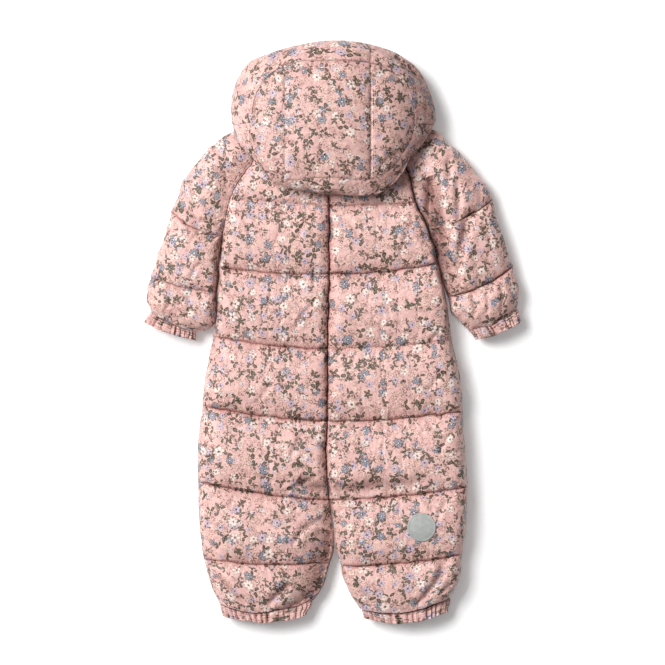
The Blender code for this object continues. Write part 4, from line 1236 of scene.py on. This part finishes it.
def keep_outline(fine):
    """Puffed cloth stands only a little past the hood's outline."""
    theta, reach = polar(fine[..., 0], fine[..., 1])
    limit = hood_row(theta)["radius"]
    share = np.where(reach > limit, (limit + 0.15 * (reach - limit)) / np.maximum(reach, 1), 1)
    fine[..., :2] = HOOD_CENTRE + (fine[..., :2] - HOOD_CENTRE) * share[..., None]


for number, (name, (outer, inner, v)) in enumerate(grids.items()):
    kind = name.split("_")[0]
    flip = turned_in(outer)
    parts = 1 if kind == "front" else 2
    fine, hollow = finer(puffed[name], parts), finer(inner, parts)
    laid = print_map(fine, fine.shape[1] // 2)
    marked = seam_lines(name, fine, v, parts)
    fine, deep = ruffled(number, name, fine, hollow, flip, marked)
    if kind in ("front", "back"):
        fine[..., 2] = np.maximum(fine[..., 2], hollow[..., 2] + 0.6)
    if name == "back_right":
        disc_height = flattened_for_patch(fine)
    if kind == "hood":
        keep_outline(fine)
    fine, hollow = shifted(fine, kind, name), shifted(hollow, kind, name)
    if kind in ("back", "sleeve"):
        fine[..., 2] += MID_Z
        hollow[..., 2] += MID_Z
    elif kind == "front":
        fine[..., 2] = np.minimum(MID_Z - fine[..., 2], MID_Z)
        hollow[..., 2] = MID_Z - hollow[..., 2]
        flip = not flip
    fine[..., 2] = np.maximum(fine[..., 2], 0.0)
    # folds carries each point's fold depth, which the material turns into painted shade.
    lines = dict(zip(("quilting", "seams", "stitching", "folds"), (*marked, grid(deep, 0, 0))))
    shell(name, fine, hollow, flip, lines, laid, prints[name])


def cuff(name, ends):
    """An elasticated tube, gathered into uneven pleats."""
    rng = np.random.default_rng(sum(map(ord, name)))
    along = np.linspace(0.012, 1, CUFF_ROWS)[:, None]
    turn = np.linspace(0, 2 * math.pi, CUFF_COLS, endpoint=False)[None]
    row = {n: a + along * (b - a) for n, a, b in zip(CUFF_COLUMNS, *ends)}
    half_x, half_y = (row["x_out"] - row["x_in"]) / 2, (row["y_out"] - row["y_in"]) / 2
    long = np.hypot(half_x, half_y)

    def wave(k, more=0.0):
        return np.sin(k * turn + more + rng.uniform(0, 6.28))

    # Gathers: round ridges between sharp valleys, none of them alike, and some only part of the way down.
    count = round(long[0, 0] * PLEATS)
    wobble = sum(size * wave(k) for k, size in ((2, 1.6), (5, 1.3), (9, 1.1), (14, 0.8)))
    lean = 0.9 * wave(3) * along
    ridge = np.abs(np.sin((count * turn + wobble + lean) / 2)) ** 0.8
    deep = np.maximum(3.6 + 1.6 * wave(7) + 1.1 * wave(17, 5 * along), 0.8)
    fine_ridge = np.abs(np.sin(count * turn + 2 * wobble + rng.uniform(0, 6.28) - lean)) ** 0.8
    bulge = 1.2 * np.sin(math.pi * along) ** 0.6 + 1.4 * soft_ramp(along, 0.75, 1.0)
    gathers = deep * (ridge - 0.85) + 0.8 * (fine_ridge - 0.7)
    out = bulge + gathers * (0.55 + 0.45 * soft_ramp(along, 0, 0.3))
    rings = []
    for inset in (0.6 - out, CUFF_WALL + 0 * out):
        across = np.cos(turn) * (1 - inset / long)
        flat = np.copysign(np.abs(np.sin(turn)) ** 0.75, np.sin(turn))
        x = (row["x_in"] + row["x_out"]) / 2 + across * half_x
        y = (row["y_in"] + row["y_out"]) / 2 + across * half_y - row["sag"] * (1 - across * across)
        rings.append(grid(x, y - GAP * (1 - along), MID_Z + flat * (row["half"] - inset)))
    rings[0][..., 2] = np.maximum(rings[0][..., 2], 0)
    outer, inner = (shifted(ring, "cuff", name) for ring in rings)
    # Painted shade: dark in the pleats' valleys and stronger towards the end sewn on, with a painted dark
    # crease along that end and in each valley.
    dark = (3.4 * deep * (1 - ridge) ** 1.5 + 0.8) * (1 - 0.5 * along)
    lines = {
        "quilting": nearest_line(outer, [(HEM, 1.0)], []),
        "seams": grid(0, 18 * ridge, 0.55),
        "stitching": nearest_line(outer, [(SEWN, 1.0)], []),
        "folds": grid(dark, 0, 0),
    }
    laid = grid(turn / (2 * math.pi) * 2 * (long[0, 0] + row["half"][0, 0]) * 1.35, along * 22)
    piece = shell(name, outer, inner, turned_in(outer, MID_Z), lines, laid, prints[name], ring=True)
    girth = lengths(np.concatenate([outer, outer[:, :1]], 1), 1)[:, -1].mean() * MM
    depth = lengths(outer, 0)[-1].mean() * MM


for name, ends in CUFFS.items():
    cuff(name, ends)


def patch(height):
    """A plain disc of reflective film with a raised, stitched rim."""
    turn = np.linspace(0, 2 * math.pi, 96, endpoint=False)
    share, rise = np.array(PATCH_RINGS).T[..., None]
    reach = PATCH_RADIUS * share
    x, y = PATCH_CENTRE[0] + reach * np.cos(turn), PATCH_CENTRE[1] + reach * np.sin(turn)
    z = height(x, y) + MID_Z + 0.3
    top, low = grid(x, y, z + rise), grid(x, y, z)
    rim = grid(turn * reach, np.abs(reach - 0.86 * PATCH_RADIUS), 1)
    lines = {"stitching": rim, "seams": grid(0 * x, 99, 0)}
    laid = top[..., :2] - PATCH_CENTRE
    look = film("reflective_film"), "reflective"
    shell("reflective_patch", top, low, turned_in(top), lines, laid, *look, coarse=1, ring=True)


patch(disc_height)


# ---- the zip keeps its CAD shapes ----
FINISHES = {  # colour, roughness, metallic, scale of the grain, its relief and its contrast
    "zip_tape": (colour(0.80, 0.58, 0.54), 0.75, 0.0, 1500.0, 0.6, 0.25),
    "zip_coil": (colour(0.76, 0.54, 0.50), 0.45, 0.0, 700.0, 0.3, 0.15),
    "zip_slider": (colour(0.72, 0.70, 0.68), 0.32, 0.9, 400.0, 0.15, 0.12),
    "zip_pull": (colour(0.74, 0.72, 0.70), 0.30, 0.9, 400.0, 0.15, 0.12),
}
for name, finish in FINISHES.items():
    made = plain("finish_" + name, *finish)
    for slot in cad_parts[name].material_slots:
        slot.material = made


# ---- studio ----
def floor():
    mesh = bpy.data.meshes.new("floor")
    mesh.from_pydata([(-3, -3, 0), (3, -3, 0), (3, 3, 0), (-3, 3, 0)], [], [(0, 1, 2, 3)])
    plane = bpy.data.objects.new("floor", mesh)
    bpy.context.scene.collection.objects.link(plane)
    plane.location.z = -0.0004
    paper = plain("floor", colour(0.97, 0.97, 0.97), 0.9, 0.0, 30.0, 0.0, 0.01)
    glow = paper.node_tree.nodes["Principled BSDF"]
    glow.inputs["Emission Color"].default_value = (1, 1, 1, 1)
    glow.inputs["Emission Strength"].default_value = 0.16
    mesh.materials.append(paper)


def area_light(name, place, size, power):
    """A square softbox that faces the origin."""
    lamp = bpy.data.lights.new(name, "AREA")
    lamp.shape, lamp.size, lamp.energy = "SQUARE", size, power
    rig = bpy.data.objects.new(name, lamp)
    bpy.context.scene.collection.objects.link(rig)
    rig.location = place
    x, y, z = place
    rig.rotation_euler = (math.acos(z / math.hypot(x, y, z)), 0, math.atan2(-y, -x) - math.pi / 2)


floor()
area_light("key", (-3.42, 2.15, 4.95), 3.6, 594)
area_light("top", (-0.3, 0.4, 4.0), 2.5, 20)
world = bpy.data.worlds.new("studio")
world.use_nodes = True
sky = world.node_tree.nodes["Background"]
sky.inputs["Color"].default_value = (1, 1, 1, 1)
sky.inputs["Strength"].default_value = 0.15
bpy.context.scene.world = world
bpy.context.scene.view_settings.view_transform = "Standard"

SENSOR = 36
VIEW_FROM, VIEW_WIDTH = 9.0, 0.931  # in metres: the picture is this wide at that distance
lens = bpy.data.cameras.new("camera")
camera = bpy.data.objects.new("camera", lens)
bpy.context.scene.collection.objects.link(camera)
camera.location = (-0.0014, 0, 9.02)
lens.sensor_width = SENSOR
lens.lens = SENSOR * VIEW_FROM / VIEW_WIDTH
lens.clip_end = 50
bpy.context.scene.camera = camera

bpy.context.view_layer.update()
